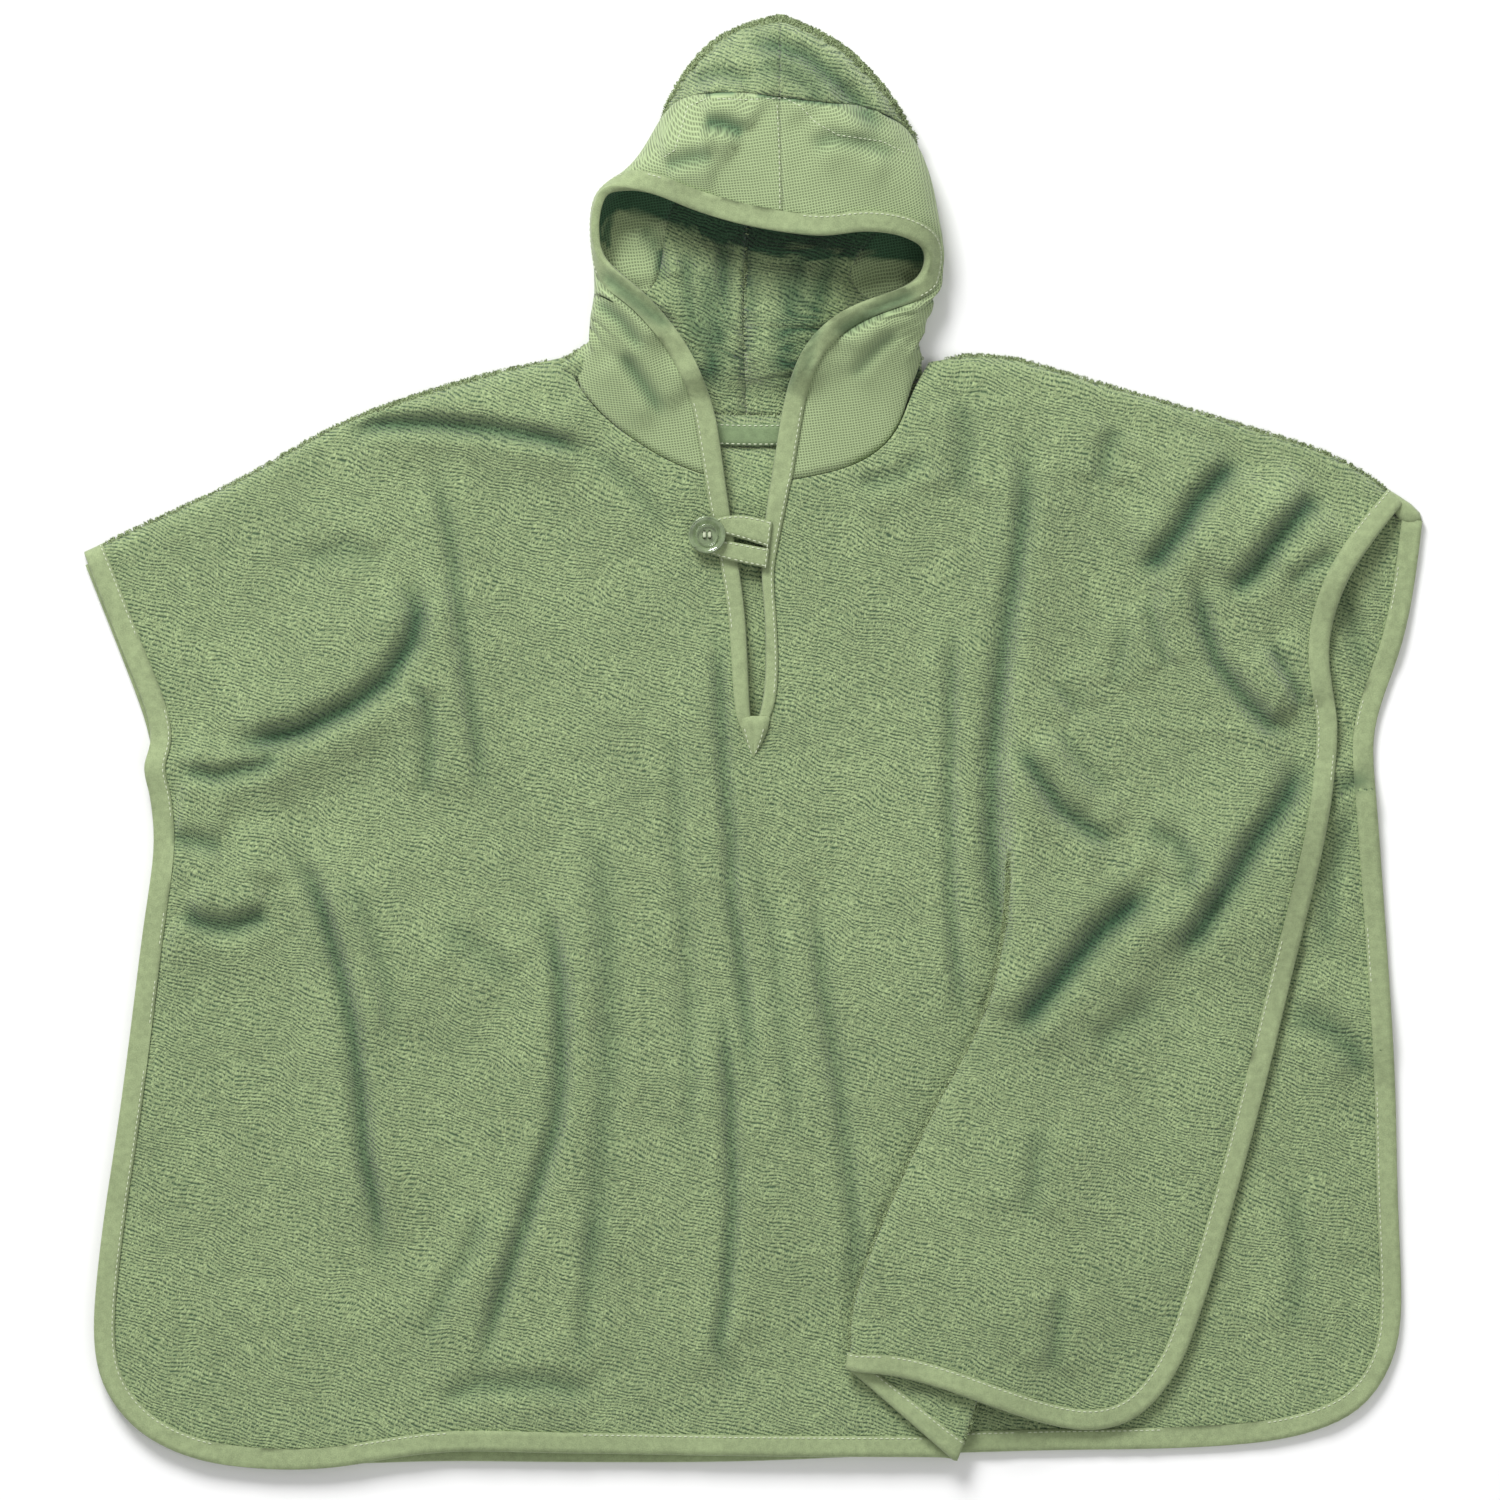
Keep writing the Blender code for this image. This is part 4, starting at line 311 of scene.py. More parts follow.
def rounded_copy(node, name, levels, sharp=SHARP):
    """Subdivision surface over a node's form, with its cut edges kept."""
    net = bmesh.new()
    net.from_mesh(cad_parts[node].data)
    bmesh.ops.remove_doubles(net, verts=net.verts[:], dist=WELD)
    bmesh.ops.join_triangles(net, faces=net.faces[:], angle_face_threshold=JOIN_TURN,
                             angle_shape_threshold=JOIN_SHAPE)
    crease = net.edges.layers.float.new("crease_edge")
    for edge in net.edges:
        if len(edge.link_faces) == 2 and edge.calc_face_angle() > sharp:
            edge[crease] = 1.0
    mesh = bpy.data.meshes.new(name + "_net")
    net.to_mesh(mesh)
    net.free()
    return rounded(mesh, name, levels)


def refine(mesh, relief):
    """Halves the mesh's spacing on the upper side where the relief is creased."""
    net = bmesh.new()
    net.from_mesh(mesh)
    edges = set()
    for face in net.faces:
        middle = face.calc_center_median()
        if face.normal.z > TOP_FACING and relief.is_creased(middle.x, middle.y):
            edges.update(edge for edge in face.edges if edge.calc_length() > FINE_SPACING)
    bmesh.ops.subdivide_edges(net, edges=sorted(edges, key=lambda edge: edge.index), cuts=1,
                              use_grid_fill=True)
    net.to_mesh(mesh)
    net.free()


def lift(mesh, relief):
    """Raises the upper side of a cloth by its relief, where nothing lies on it."""
    # Painted shade of the fold troughs, kept on the faces that are lifted
    shade_amount = mesh.attributes.new("pressed", "FLOAT", "POINT")
    tree = BVHTree.FromPolygons([v.co for v in mesh.vertices],
                                [tuple(p.vertices) for p in mesh.polygons])
    moved = []
    for vertex in mesh.vertices:
        facing = smooth(vertex.normal.z * LIFT_GAIN)
        if facing <= 0.0:
            continue
        point = vertex.co
        over = tree.ray_cast(point + UP * LIFT_CLEAR, UP)[3]
        if over is not None:
            facing *= smooth((over - LEAST_ROOM) / FREE_ROOM)
        height, pressed = relief.at(point.x, point.y)
        shade_amount.data[vertex.index].value = pressed * facing
        moved.append((vertex.index, point + UP * (height + unevenness(point)) * facing))
    for index, place in moved:
        mesh.vertices[index].co = place
    for vertex in mesh.vertices:
        vertex.co.z = max(vertex.co.z, 0.0)


def surface_tree(names):
    """All the named pieces as one surface to lay a line on."""
    points, faces = [], []
    for name in names:
        mesh = bpy.data.objects[name].data
        first = len(points)
        points += [vertex.co.copy() for vertex in mesh.vertices]
        faces += [tuple(first + index for index in polygon.vertices)
                  for polygon in mesh.polygons]
    return BVHTree.FromPolygons(points, faces)


# ---- Shader graph ----

# Tint and strength of the shade painted into the cloth, in fold troughs and inside the hood
SHADE_TINT = (0.12, 0.27, 0.26, 1.0)
SHADE_STRENGTH = 0.95


def tone(colour, factor):
    return tuple(channel * factor for channel in colour[:3]) + (1.0,)


def operation(name, swapped=False):
    """A method of Value that adds the maths node of that name."""
    def apply(self, *others):
        items = (self,) + others
        if swapped:
            items = items[::-1]
        return self.graph.node("ShaderNodeMath", {"operation": name},
                               dict(enumerate(items))).value(0)
    return apply


class Value:
    """A number socket that can be used in arithmetic."""

    def __init__(self, graph, socket):
        self.graph = graph
        self.socket = socket

    __add__ = __radd__ = operation("ADD")
    __sub__ = operation("SUBTRACT")
    __rsub__ = operation("SUBTRACT", swapped=True)
    __mul__ = __rmul__ = operation("MULTIPLY")
    fraction = operation("FRACT")
    size = operation("ABSOLUTE")
    higher_of = operation("MAXIMUM")

    def between(self, low, high):
        """0 below low, 1 above high and smooth between."""
        return self.graph.node(
            "ShaderNodeMapRange", {"interpolation_type": "SMOOTHSTEP"},
            {"Value": self, "From Min": low, "From Max": high}).value("Result")


class Made:
    """A node that was added, with its outputs by name or number."""

    def __init__(self, graph, node):
        self.graph = graph
        self.shader_node = node

    def out(self, name):
        return self.shader_node.outputs[name]

    def value(self, name):
        return Value(self.graph, self.out(name))


class Graph:
    """One material's node tree, with the object's own coordinates as its place."""

    def __init__(self, name):
        self.material = bpy.data.materials.new(name)
        self.material.use_nodes = True
        self.tree = self.material.node_tree
        self.tree.nodes.clear()
        self.place = self.node("ShaderNodeTexCoord").out("Object")

    def feed(self, socket, item):
        if isinstance(item, Value):
            item = item.socket
        if isinstance(item, bpy.types.NodeSocket):
            self.tree.links.new(item, socket)
        else:
            socket.default_value = item

    def node(self, kind, settings=None, sockets=None):
        """Adds a node. Its settings go in first, then the values or links of its sockets."""
        node = self.tree.nodes.new(kind)
        for key, setting in (settings or {}).items():
            if key == "stops":
                ramp = node.color_ramp
                while len(ramp.elements) < len(setting):
                    ramp.elements.new(0.5)
                for element, (place, colour) in zip(ramp.elements, setting):
                    element.position = place
                    element.color = colour
            else:
                setattr(node, key, setting)
        for key, item in (sockets or {}).items():
            self.feed(node.inputs[key], item)
        return Made(self, node)

    def mix(self, share, first, second, blend="MIX"):
        return self.node("ShaderNodeMix", {"data_type": "RGBA", "blend_type": blend},
                         {0: share, 6: first, 7: second}).out(2)

    def ramp(self, share, colour, *stops):
        """Tones of one colour, each with its place along the share."""
        stops = [(place, tone(colour, factor)) for place, factor in stops]
        return self.node("ShaderNodeValToRGB", {"stops": stops}, {"Fac": share}).out("Color")

    def scaled(self, vector, size):
        return self.node("ShaderNodeVectorMath", {"operation": "MULTIPLY"},
                         {0: vector, 1: size}).out("Vector")

    def noise(self, vector, scale, detail, rough):
        return self.node("ShaderNodeTexNoise", None,
                         {"Vector": vector, "Scale": scale, "Detail": detail,
                          "Roughness": rough})

    def grain(self, vector, scale, detail=2.0, rough=0.5):
        return self.noise(vector, scale, detail, rough).value("Fac")

    def bent(self, vector, scale, detail, size):
        """A vector moved about by noise, up to the size."""
        by = self.noise(self.place, scale, detail, 0.5).out("Color")
        return self.node("ShaderNodeVectorMath", {"operation": "ADD"},
                         {0: vector, 1: self.scaled(by, (size, size, size))}).out("Vector")

    def bump(self, height, distance, strength, under=None):
        sockets = {"Height": height, "Distance": distance, "Strength": strength}
        if under is not None:
            sockets["Normal"] = under
        return self.node("ShaderNodeBump", None, sockets).out("Normal")

    def surface(self, sockets):
        shader = self.node("ShaderNodeBsdfPrincipled", None, sockets)
        self.node("ShaderNodeOutputMaterial", None, {"Surface": shader.out("BSDF")})
        return self.material

    def cloth(self, base, normal, roughness, sheen, specular):
        """Matt cloth, with shade painted deeper into its colour where its pile gets little light.

        sheen is its weight and its roughness.
        """
        shade_amount = self.node("ShaderNodeAttribute", {"attribute_name": "pressed"}).value("Fac")
        base = self.mix(shade_amount * SHADE_STRENGTH, base, SHADE_TINT, "MULTIPLY")
        return self.surface({"Base Color": base, "Roughness": roughness, "Normal": normal,
                             "Sheen Weight": sheen[0], "Sheen Roughness": sheen[1],
                             "Specular IOR Level": specular})


# ---- Finishes ----

TERRY_ROW = 1.8 * MM
ROW_BEND, LOOP_JITTER = 11.0 * MM, 1.1 * MM
LOOP_SLANT = 0.32
LOOP_FORM, DASH_FORM = (1.02, 0.74, 1.0), (1.0, 0.6, 1.0)
# Colour of the shade painted between the loops
PILE_GAP_SHADE = (0.060, 0.108, 0.054, 1.0)
WAFFLE_MM = 1.42
WAFFLE_DRIFT = 0.35 / WAFFLE_MM
TAPE_WEAVE_FORM = (1.0, 1.4, 1.0)


def terry_material(name, colour, loop_mm):
    """Looped pile: wavy rows of small loops, with short broken gaps between the rows, where shade is
    painted dark.
    """
    graph = Graph(name)
    rows = graph.bent(graph.place, 38.0, 1.0, ROW_BEND)
    rows = graph.bent(rows, 300.0, 1.0, LOOP_JITTER)
    slanted = graph.node("ShaderNodeMapping", None,
                         {"Vector": rows, "Rotation": (0.0, 0.0, LOOP_SLANT)}).out("Vector")
    flat = graph.scaled(slanted, LOOP_FORM)
    loops = graph.node("ShaderNodeTexVoronoi", {"feature": "F1"},
                       {"Vector": flat, "Scale": 1.0 / (loop_mm * MM), "Randomness": 0.55})
    gap = loops.value("Distance").between(0.32, 0.64)
    tint = graph.node("ShaderNodeSeparateColor", None, {"Color": loops.out("Color")})
    clump = graph.grain(graph.place, 210.0, 3.0, 0.62)
    fibre = graph.grain(flat, 2100.0, 2.0, 0.6)
    patch = graph.grain(graph.place, 24.0, 3.0, 0.55)
    light = tint.value("Red") * 0.4 + clump * 0.3 + fibre * 0.6 + patch * 0.5
    pile = graph.ramp(light.between(0.4, 1.4), colour, (0.0, 0.86), (0.5, 1.20), (1.0, 1.52))
    down = graph.node("ShaderNodeSeparateXYZ", None, {"Vector": slanted}).value("Y")
    row = (down * (1.0 / TERRY_ROW)).fraction()
    trench = ((row - 0.5).size() * 2.0).between(0.25, 0.95)
    dash = graph.grain(graph.scaled(slanted, DASH_FORM), 1050.0)
    # painted shade: dark in the trenches between rows and the gaps between loops
    gap_shade = trench * dash.between(0.37, 0.58) * 0.95 + gap * 0.25
    normal = graph.bump(clump + patch * 2.0, 1.7 * MM, 0.5)
    normal = graph.bump(fibre * 0.25 - gap * 0.6 - trench * dash, 0.7 * MM, 0.7, normal)
    return graph.cloth(graph.mix(gap_shade, pile, PILE_GAP_SHADE), normal, 0.95, (0.3, 0.55), 0.15)


def waffle_material(name, colour):
    """Waffle weave: square wells with a pinhole in each, on the band's own lines, with shade painted
    into the wells and pinholes.
    """
    graph = Graph(name)
    lay = graph.node("ShaderNodeUVMap", {"uv_map": "lay"}).out("UV")
    lay = graph.bent(lay, 120.0, 2.0, WAFFLE_DRIFT)
    parts = graph.node("ShaderNodeSeparateXYZ", None, {"Vector": lay})
    across, along = ((parts.value(way).fraction() - 0.5).size() * 2.0 for way in "XY")
    ridge = across.higher_of(along).between(0.35, 0.95)
    pinhole = 1.0 - (across * across + along * along).between(0.06, 0.30)
    yarn = graph.grain(graph.place, 2200.0, 3.0, 0.7)
    patch = graph.grain(graph.place, 60.0, 3.0, 0.6)
    # Painted shade: the wells darker than the ridges, and the pinholes darker still
    shade = ridge * 0.75 + yarn * 0.35 + patch * 0.2
    cloth = graph.ramp(shade.between(0.05, 1.2), colour, (0.0, 0.62), (0.45, 0.93),
                       (0.8, 1.14), (1.0, 1.3))
    base = graph.mix(pinhole * (0.15 + patch * 0.55), cloth, tone(colour, 0.34))
    normal = graph.bump(ridge * 0.8 + yarn * 0.25, 0.6 * MM, 0.6)
    return graph.cloth(base, normal, 0.9, (0.2, 0.5), 0.2)


def tape_material(name, colour):
    """Fine flat cotton tape with a slight pucker."""
    graph = Graph(name)
    weave = graph.node("ShaderNodeTexVoronoi", {"feature": "F1"},
                       {"Vector": graph.scaled(graph.place, TAPE_WEAVE_FORM),
                        "Scale": 2300.0})
    thread = 1.0 - weave.value("Distance").between(0.1, 0.7)
    pucker = graph.grain(graph.place, 320.0)
    patch = graph.grain(graph.place, 40.0, 3.0, 0.6)
    shade = thread * 0.35 + pucker * 0.45 + patch * 0.35
    base = graph.ramp(shade.between(0.2, 0.95), colour, (0.0, 0.72), (0.5, 0.98), (1.0, 1.2))
    normal = graph.bump(pucker, 0.7 * MM, 0.3)
    normal = graph.bump(thread, 0.15 * MM, 0.5, normal)
    return graph.cloth(base, normal, 0.85, (0.15, 0.5), 0.2)


def thread_material(name, colour):
    """Twisted cotton thread."""
    graph = Graph(name)
    twist = graph.grain(graph.place, 2400.0, 2.0, 0.6)
    base = graph.mix(twist.between(0.3, 0.7), tone(colour, 0.85), tone(colour, 1.15))
    return graph.surface({"Base Color": base, "Roughness": 0.55,
                          "Normal": graph.bump(twist, 0.15 * MM, 0.5)})


def plastic_material(name, colour):
    """Clouded, half clear resin with a polished face."""
    graph = Graph(name)
    cloud = graph.grain(graph.place, 170.0, 3.0, 0.55)
    scuff = graph.grain(graph.place, 1400.0, 2.0, 0.6)
    base = graph.mix(cloud.between(0.25, 0.75), tone(colour, 0.72), tone(colour, 1.35))
    rough = 0.12 + scuff.between(0.55, 0.9) * 0.16
    return graph.surface({"Base Color": base, "Roughness": rough, "Coat Weight": 0.7,
                          "Coat Roughness": 0.06, "Transmission Weight": 0.45, "IOR": 1.5,
                          "Normal": graph.bump(cloud, 0.3 * MM, 0.15)})


def paper_material(name, colour):
    """Pale paper with a faint grain."""
    graph = Graph(name)
    speck = graph.grain(graph.place, 600.0).between(0.3, 0.7)
    return graph.surface({"Base Color": graph.mix(speck * 0.04, colour, tone(colour, 0.97)),
                          "Roughness": 0.9})


# ---- Settings ----

def colour_setting(name, description, default):
    return bpy.props.FloatVectorProperty(
        name=name, description=description, default=default, subtype="COLOR", size=3,
        min=0.0, max=1.0)


class PonchoFinishes(bpy.types.PropertyGroup):
    """Colours and sizes of the poncho's finishes."""

    terry: colour_setting("Terry", "Pile of the body and the hood's crown",
                          (0.266, 0.338, 0.166))
    waffle: colour_setting("Waffle", "Band round the face", (0.310, 0.392, 0.205))
    tape: colour_setting("Tape", "Binding of the edges, and the loop", (0.318, 0.392, 0.205))
    # Painted shade: the tape's colour darkened for the hood's shade over the back of the neck
    neck_tape: colour_setting("Neck tape", "Tape inside the back of the neck",
                              (0.205, 0.285, 0.145))
    thread: colour_setting("Thread", "Topstitches and seams", (0.560, 0.620, 0.440))
    button: colour_setting("Button", "Resin of the button", (0.300, 0.390, 0.215))
    loop_mm: bpy.props.FloatProperty(
        name="Loop", description="Spacing of the terry's loops in millimetres", default=1.15,
        min=0.5, max=4.0)
    rounding: bpy.props.IntProperty(
        name="Rounding", description="Subdivision levels of the cloth", default=2, min=1, max=3)


class PonchoStage(bpy.types.PropertyGroup):
    """Floor and light."""

    floor_colour: colour_setting("Floor", "Colour of the floor", (0.9, 0.9, 0.9))
    key_watts: bpy.props.FloatProperty(
        name="Key light", description="Power of the large soft light", default=205.0, min=0.0)
    sky: bpy.props.FloatProperty(
        name="Sky", description="Strength of the even light all round", default=0.46, min=0.0)


YARN_TONE = 1.12
MATERIALS = {}
SLOTS = {"terry": "terry", "yarn": "terry", "waffle": "waffle_weave", "tape": "binding_tape",
         "neck_tape": "binding_tape", "thread": "binding_tape", "button": "button_plastic"}


def finishes():
    return bpy.context.scene.poncho_finishes


def material(finish):
    """One shared material for each finish."""
    def colour(name, factor=1.0):
        return tone(getattr(finishes(), name), factor)

    makers = {
        "terry": lambda: terry_material("terry", colour("terry"), finishes().loop_mm),
        "waffle": lambda: waffle_material("waffle_weave", colour("waffle")),
        "tape": lambda: tape_material("binding_tape", colour("tape")),
        # painted shade: the same tape in a darker colour, for the hood's shade over it
        "neck_tape": lambda: tape_material("neck_tape", colour("neck_tape")),
        "thread": lambda: thread_material("thread", colour("thread")),
        "yarn": lambda: thread_material("pile_yarn", colour("terry", YARN_TONE)),
        "button": lambda: plastic_material("button_resin", colour("button")),
    }
    if finish not in MATERIALS:
        MATERIALS[finish] = makers[finish]()
    return MATERIALS[finish]


def add_piece(name, mesh, finish, *nodes, slot=None):
    """Adds a piece that rides on the body, in place of the nodes that it stands for."""
    piece = new_object(name, mesh, material(finish))
    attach(piece, BODY)
    if nodes:
        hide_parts(*nodes)
    slot or SLOTS[finish]
    return piece


def cloth_piece(node, name, finish, relief):
    """A node's cloth or tape, rounded and with its folds."""
    mesh = rounded_copy(node, name, finishes().rounding)
    if finish == "terry":
        refine(mesh, relief)
    lift(mesh, relief)
    return add_piece(name, shaded(mesh), finish, node)


# ---- Stitches and strands ----

STITCH_PITCH = 2.8 * MM
STITCH_LENGTH = 2.1 * MM
STITCH_RADIUS = 0.26 * MM
STITCH_INSET = 1.2 * MM          # from the tape's edge
STITCH_RISE = 0.1 * MM
STITCH_SIDES = 6
STITCH_WAIST = 0.52              # share of its length at full thickness
STITCH_FLATNESS = 1.1
STITCH_SINK = 0.12 * MM          # how far its ends go into the cloth
SHORTEST_LINE = 9 * MM
STEEPEST_STEP = 4.0              # a drawn line that falls more than this leaves a gap

SKIN = 0.05 * MM
CHANNEL_DEPTH = 6 * MM           # a face with another this near is inside the tape's fold
LYING_FLAT = 1.2 * MM
UPPER_FACING = 0.5
OUTER_SHARE = 2.0                # how much larger a tape's outer face is than its cut edge
BESIDE_LIP, LIP_CLEAR, LIP_DROP = 2.0 * MM, 4.0 * MM, 3.2 * MM

Seat = namedtuple("Seat", "start end normal inward")


def outer_face(edge, upper):
    """The face of a lip that takes the stitches, or None where neither does."""
    if upper:
        face = max(edge.link_faces, key=lambda item: item.normal.z)
        return face if face.normal.z >= UPPER_FACING else None
    face = max(edge.link_faces, key=lambda item: item.calc_area())
    least = min(item.calc_area() for item in edge.link_faces)
    return face if face.calc_area() >= OUTER_SHARE * least else None


def lip_seats(mesh, cloth=None):
    """Cut edges of a tape's outer faces, each with its face's normal and the way into it.

    With the cloth's surface given, only the edges that lie on it count. Without it, all the
    upper edges do.
    """
    net = bmesh.new()
    net.from_mesh(mesh)
    net.normal_update()
    tree = BVHTree.FromBMesh(net)
    seats = []
    for edge in net.edges:
        if len(edge.link_faces) != 2 or edge.calc_face_angle() < SHARP or not edge.is_convex:
            continue
        face = outer_face(edge, cloth is None)
        if face is None:
            continue
        normal, middle = face.normal.copy(), face.calc_center_median()
        facing = tree.ray_cast(middle + normal * SKIN, normal)[3]
        if facing is not None and facing < CHANNEL_DEPTH:
            continue
        if middle.z < LYING_FLAT and normal.z < 0.0:
            continue
        start, end = (vertex.co.copy() for vertex in edge.verts)
        along = (end - start).normalized()
        inward = middle - start
        inward = (inward - along * inward.dot(along)).normalized()
        if cloth is not None:
            beside = (start + end) / 2 - inward * BESIDE_LIP + normal * LIP_CLEAR
            below = cloth.ray_cast(beside, -normal)[3]
            if below is None or below > LIP_CLEAR + LIP_DROP:
                continue
        seats.append((edge.verts[0].index, edge.verts[1].index,
                      Seat(start, end, normal, inward)))
    net.free()
    return seats


def chained(seats):
    """Seats in running order, as lists."""
    at = {}
    for number, (start, end, _) in enumerate(seats):
        at.setdefault(start, []).append(number)
        at.setdefault(end, []).append(number)
    used = set()
    ends = [place for place in sorted(at) if len(at[place]) == 1]
    lines = []
    for first in ends + sorted(at):
        place, line = first, []
        while True:
            following = [number for number in at[place] if number not in used]
            if not following:
                break
            used.add(following[0])
            start, end, seat = seats[following[0]]
            if start == place:
                line.append(seat)
                place = end
            else:
                line.append(Seat(seat.end, seat.start, seat.normal, seat.inward))
                place = start
        if line:
            lines.append(line)
    return lines


def seats_on(tree, points):
    """Running seats where a drawn line falls on a cloth from above."""
    seats = []
    for first, second in zip(points, points[1:]):
        (start, normal), (end, _) = (tree.ray_cast(point + HIGH_ABOVE, -UP)[:2]
                                     for point in (first, second))
        if start is None or end is None:
            continue
        if (start - end).length <= STEEPEST_STEP * (first - second).length:
            seats.append(Seat(start, end, normal, (end - start).cross(normal).normalized()))
    return seats


def add_stitch(points, faces, middle, along, normal):
    """A short thread that dips into the cloth at both ends."""
    side = along.cross(normal)
    first = len(points)
    tail = along * STITCH_LENGTH / 2
    points.append(middle - tail - normal * STITCH_SINK)
    for share in (-STITCH_WAIST, STITCH_WAIST):
        for step in range(STITCH_SIDES):
            turn = 2 * math.pi * step / STITCH_SIDES
            points.append(middle + tail * share
                          + side * math.cos(turn) * STITCH_RADIUS * STITCH_FLATNESS
                          + normal * math.sin(turn) * STITCH_RADIUS)
    points.append(middle + tail - normal * STITCH_SINK)
    last = len(points) - 1
    for step in range(STITCH_SIDES):
        a, b = first + 1 + step, first + 1 + (step + 1) % STITCH_SIDES
        faces.append((first, b, a))
        faces.append((a, b, b + STITCH_SIDES, a + STITCH_SIDES))
        faces.append((last, a + STITCH_SIDES, b + STITCH_SIDES))


def add_stitches(name, lines, inset=STITCH_INSET, slot=None):
    """Adds stitches along running seats, a fixed step apart."""
    points, faces = [], []
    for line in lines:
        lengths = [(seat.end - seat.start).length for seat in line]
        if sum(lengths) < SHORTEST_LINE:
            continue
        wanted, run = STITCH_PITCH / 2, 0.0
        for seat, length in zip(line, lengths):
            while wanted < run + length:
                share = (wanted - run) / length
                middle = seat.start.lerp(seat.end, share) + seat.inward * inset
                along = (seat.end - seat.start).normalized()
                add_stitch(points, faces, middle + seat.normal * STITCH_RISE, along,
                           seat.normal)
                wanted += STITCH_PITCH
            run += length
    add_piece(name, shaded(mesh_of(name, points, faces), math.pi), "thread", slot=slot)


def add_strand(points, faces, line, radius, sides):
    """A round strand along a line."""
    first = len(points)
    for number, place in enumerate(line):
        ahead = (line[min(number + 1, len(line) - 1)] - line[max(number - 1, 0)]).normalized()
        side = ahead.orthogonal().normalized()
        other = ahead.cross(side)
        for step in range(sides):
            turn = 2 * math.pi * step / sides
            points.append(place + side * math.cos(turn) * radius
                          + other * math.sin(turn) * radius)
    for row in range(len(line) - 1):
        for step in range(sides):
            a = first + row * sides + step
            b = first + row * sides + (step + 1) % sides
            faces.append((a, b, b + sides, a + sides))
    faces.append(tuple(range(first + sides - 1, first - 1, -1)))
    last = first + (len(line) - 1) * sides
    faces.append(tuple(range(last, last + sides)))


# ---- Body and hood ----

# Turned-in ends of folds: the plan, then the share of it and the height in mm of each row
NECK_FOLD = ((552, 368), (562, 360), (578, 351), (596, 341), (607, 346), (606, 362),
             (596, 378), (582, 386), (566, 380))
NECK_LEVELS = ((1.0, 1.5), (0.86, 6.0), (0.5, 8.6), (0.18, 9.2))
CORNER_FOLD = ((1386, 488), (1399, 496), (1411, 504), (1420, 513), (1422, 522), (1411, 525),
               (1400, 522), (1393, 512), (1386, 500))
CORNER_LEVELS = ((1.0, 1.2), (0.94, 4.6), (0.5, 5.6), (0.18, 5.8))
FOLD_END_ROUNDING = 3

HOOD_SEAMS = (
    ("crown_seam_stitches",
     ((664, 159), (675, 152), (688, 108), (708, 100), (742, 102), (784, 100), (800, 108),
      (816, 125), (838, 137), (882, 143), (906, 155))),
    ("centre_seam_stitches", ((777, 106), (779, 150), (780, 222))),
)
SEAM_STEP = 4 * MM
SEAM_REACH = 1.8 * MM
SEAM_SHARE = 0.52                        # just past half way, so that the two sides meet
LAY_TURN = math.radians(9)
LAY_RISE = 0.8                           # wells gained for each well of height

INNER_PILE = ((680, 404), (836, 250))    # lower left and upper right of the hood's inside
INNER_FACING = 0.1
SETTLE_ROUNDS = 5

SKY_RINGS = ((0.25, 4), (0.6, 6), (0.9, 8))    # height of each ring and directions in it
LIGHT_SIDE = Vector((-0.30, 0.72, 0.62))
HOLLOW_REACH = 0.09
HOLLOW_CLEAR = 0.8 * MM
HOLLOW_FREE = 0.52                       # share of the light that may be hidden unseen
HOLLOW_SHADE = 3.2


def fold_end(name, finish, plan, levels):
    """The turned-in end of a fold: a soft cushion of cloth over its plan."""
    outline = [on_cloth(*point) for point in plan]
    middle = sum(outline, Vector()) / len(outline)
    points = [middle.lerp(place, share) + UP * level * MM
              for share, level in levels for place in outline]
    count = len(outline)
    faces = [tuple(range(len(points) - count, len(points))), tuple(range(count - 1, -1, -1))]
    for row in range(len(levels) - 1):
        for step in range(count):
            a, b = row * count + step, row * count + (step + 1) % count
            faces.append((a, a + count, b + count, b))
    mesh = rounded(mesh_of(name + "_net", points, faces), name, FOLD_END_ROUNDING)
    add_piece(name, shaded(mesh), finish)


def lay_on_band(mesh):
    """Writes the waffle's own coordinates, counted in wells, on a hood band."""
    wells = []
    for vertex in mesh.vertices:
        x, y, z = vertex.co / (WAFFLE_MM * MM)
        wells.append((x * math.cos(LAY_TURN) + y * math.sin(LAY_TURN),
                      y * math.cos(LAY_TURN) - x * math.sin(LAY_TURN) + z * LAY_RISE))
    lay = mesh.uv_layers.new(name="lay")
    for loop in mesh.loops:
        lay.data[loop.index].uv = wells[loop.vertex_index]


def settle(mesh, corners):
    """Evens out the heights of the pile that faces up between two corners."""
    low, high = (on_cloth(*corner) for corner in corners)
    net = bmesh.new()
    net.from_mesh(mesh)
    net.normal_update()
    inner = [vertex for vertex in net.verts if vertex.normal.z > INNER_FACING
             and low.x < vertex.co.x < high.x and low.y < vertex.co.y < high.y]
    for _ in range(SETTLE_ROUNDS):
        bmesh.ops.smooth_vert(net, verts=inner, factor=0.5, use_axis_z=True)
    net.to_mesh(mesh)
    net.free()


def close_seams(names):
    """Brings the cut edges of sewn pieces together, so that no gap shows in a seam."""
    trees = {name: surface_tree((name,)) for name in names}
    for name in names:
        others = [trees[other] for other in names if other != name]
        for vertex in bpy.data.objects[name].data.vertices:
            for tree in others:
                place = tree.find_nearest(vertex.co, SEAM_REACH)[0]
                if place is not None:
                    vertex.co = vertex.co.lerp(place, SEAM_SHARE)
                    break


def sky_directions():
    """Even directions over the upper half of the sky."""
    directions = []
    for height, count in SKY_RINGS:
        level = math.sqrt(1.0 - height * height)
        for step in range(count):
            turn = 2 * math.pi * (step + 0.5 * height) / count
            directions.append(Vector((math.cos(turn) * level, math.sin(turn) * level, height)))
    return directions


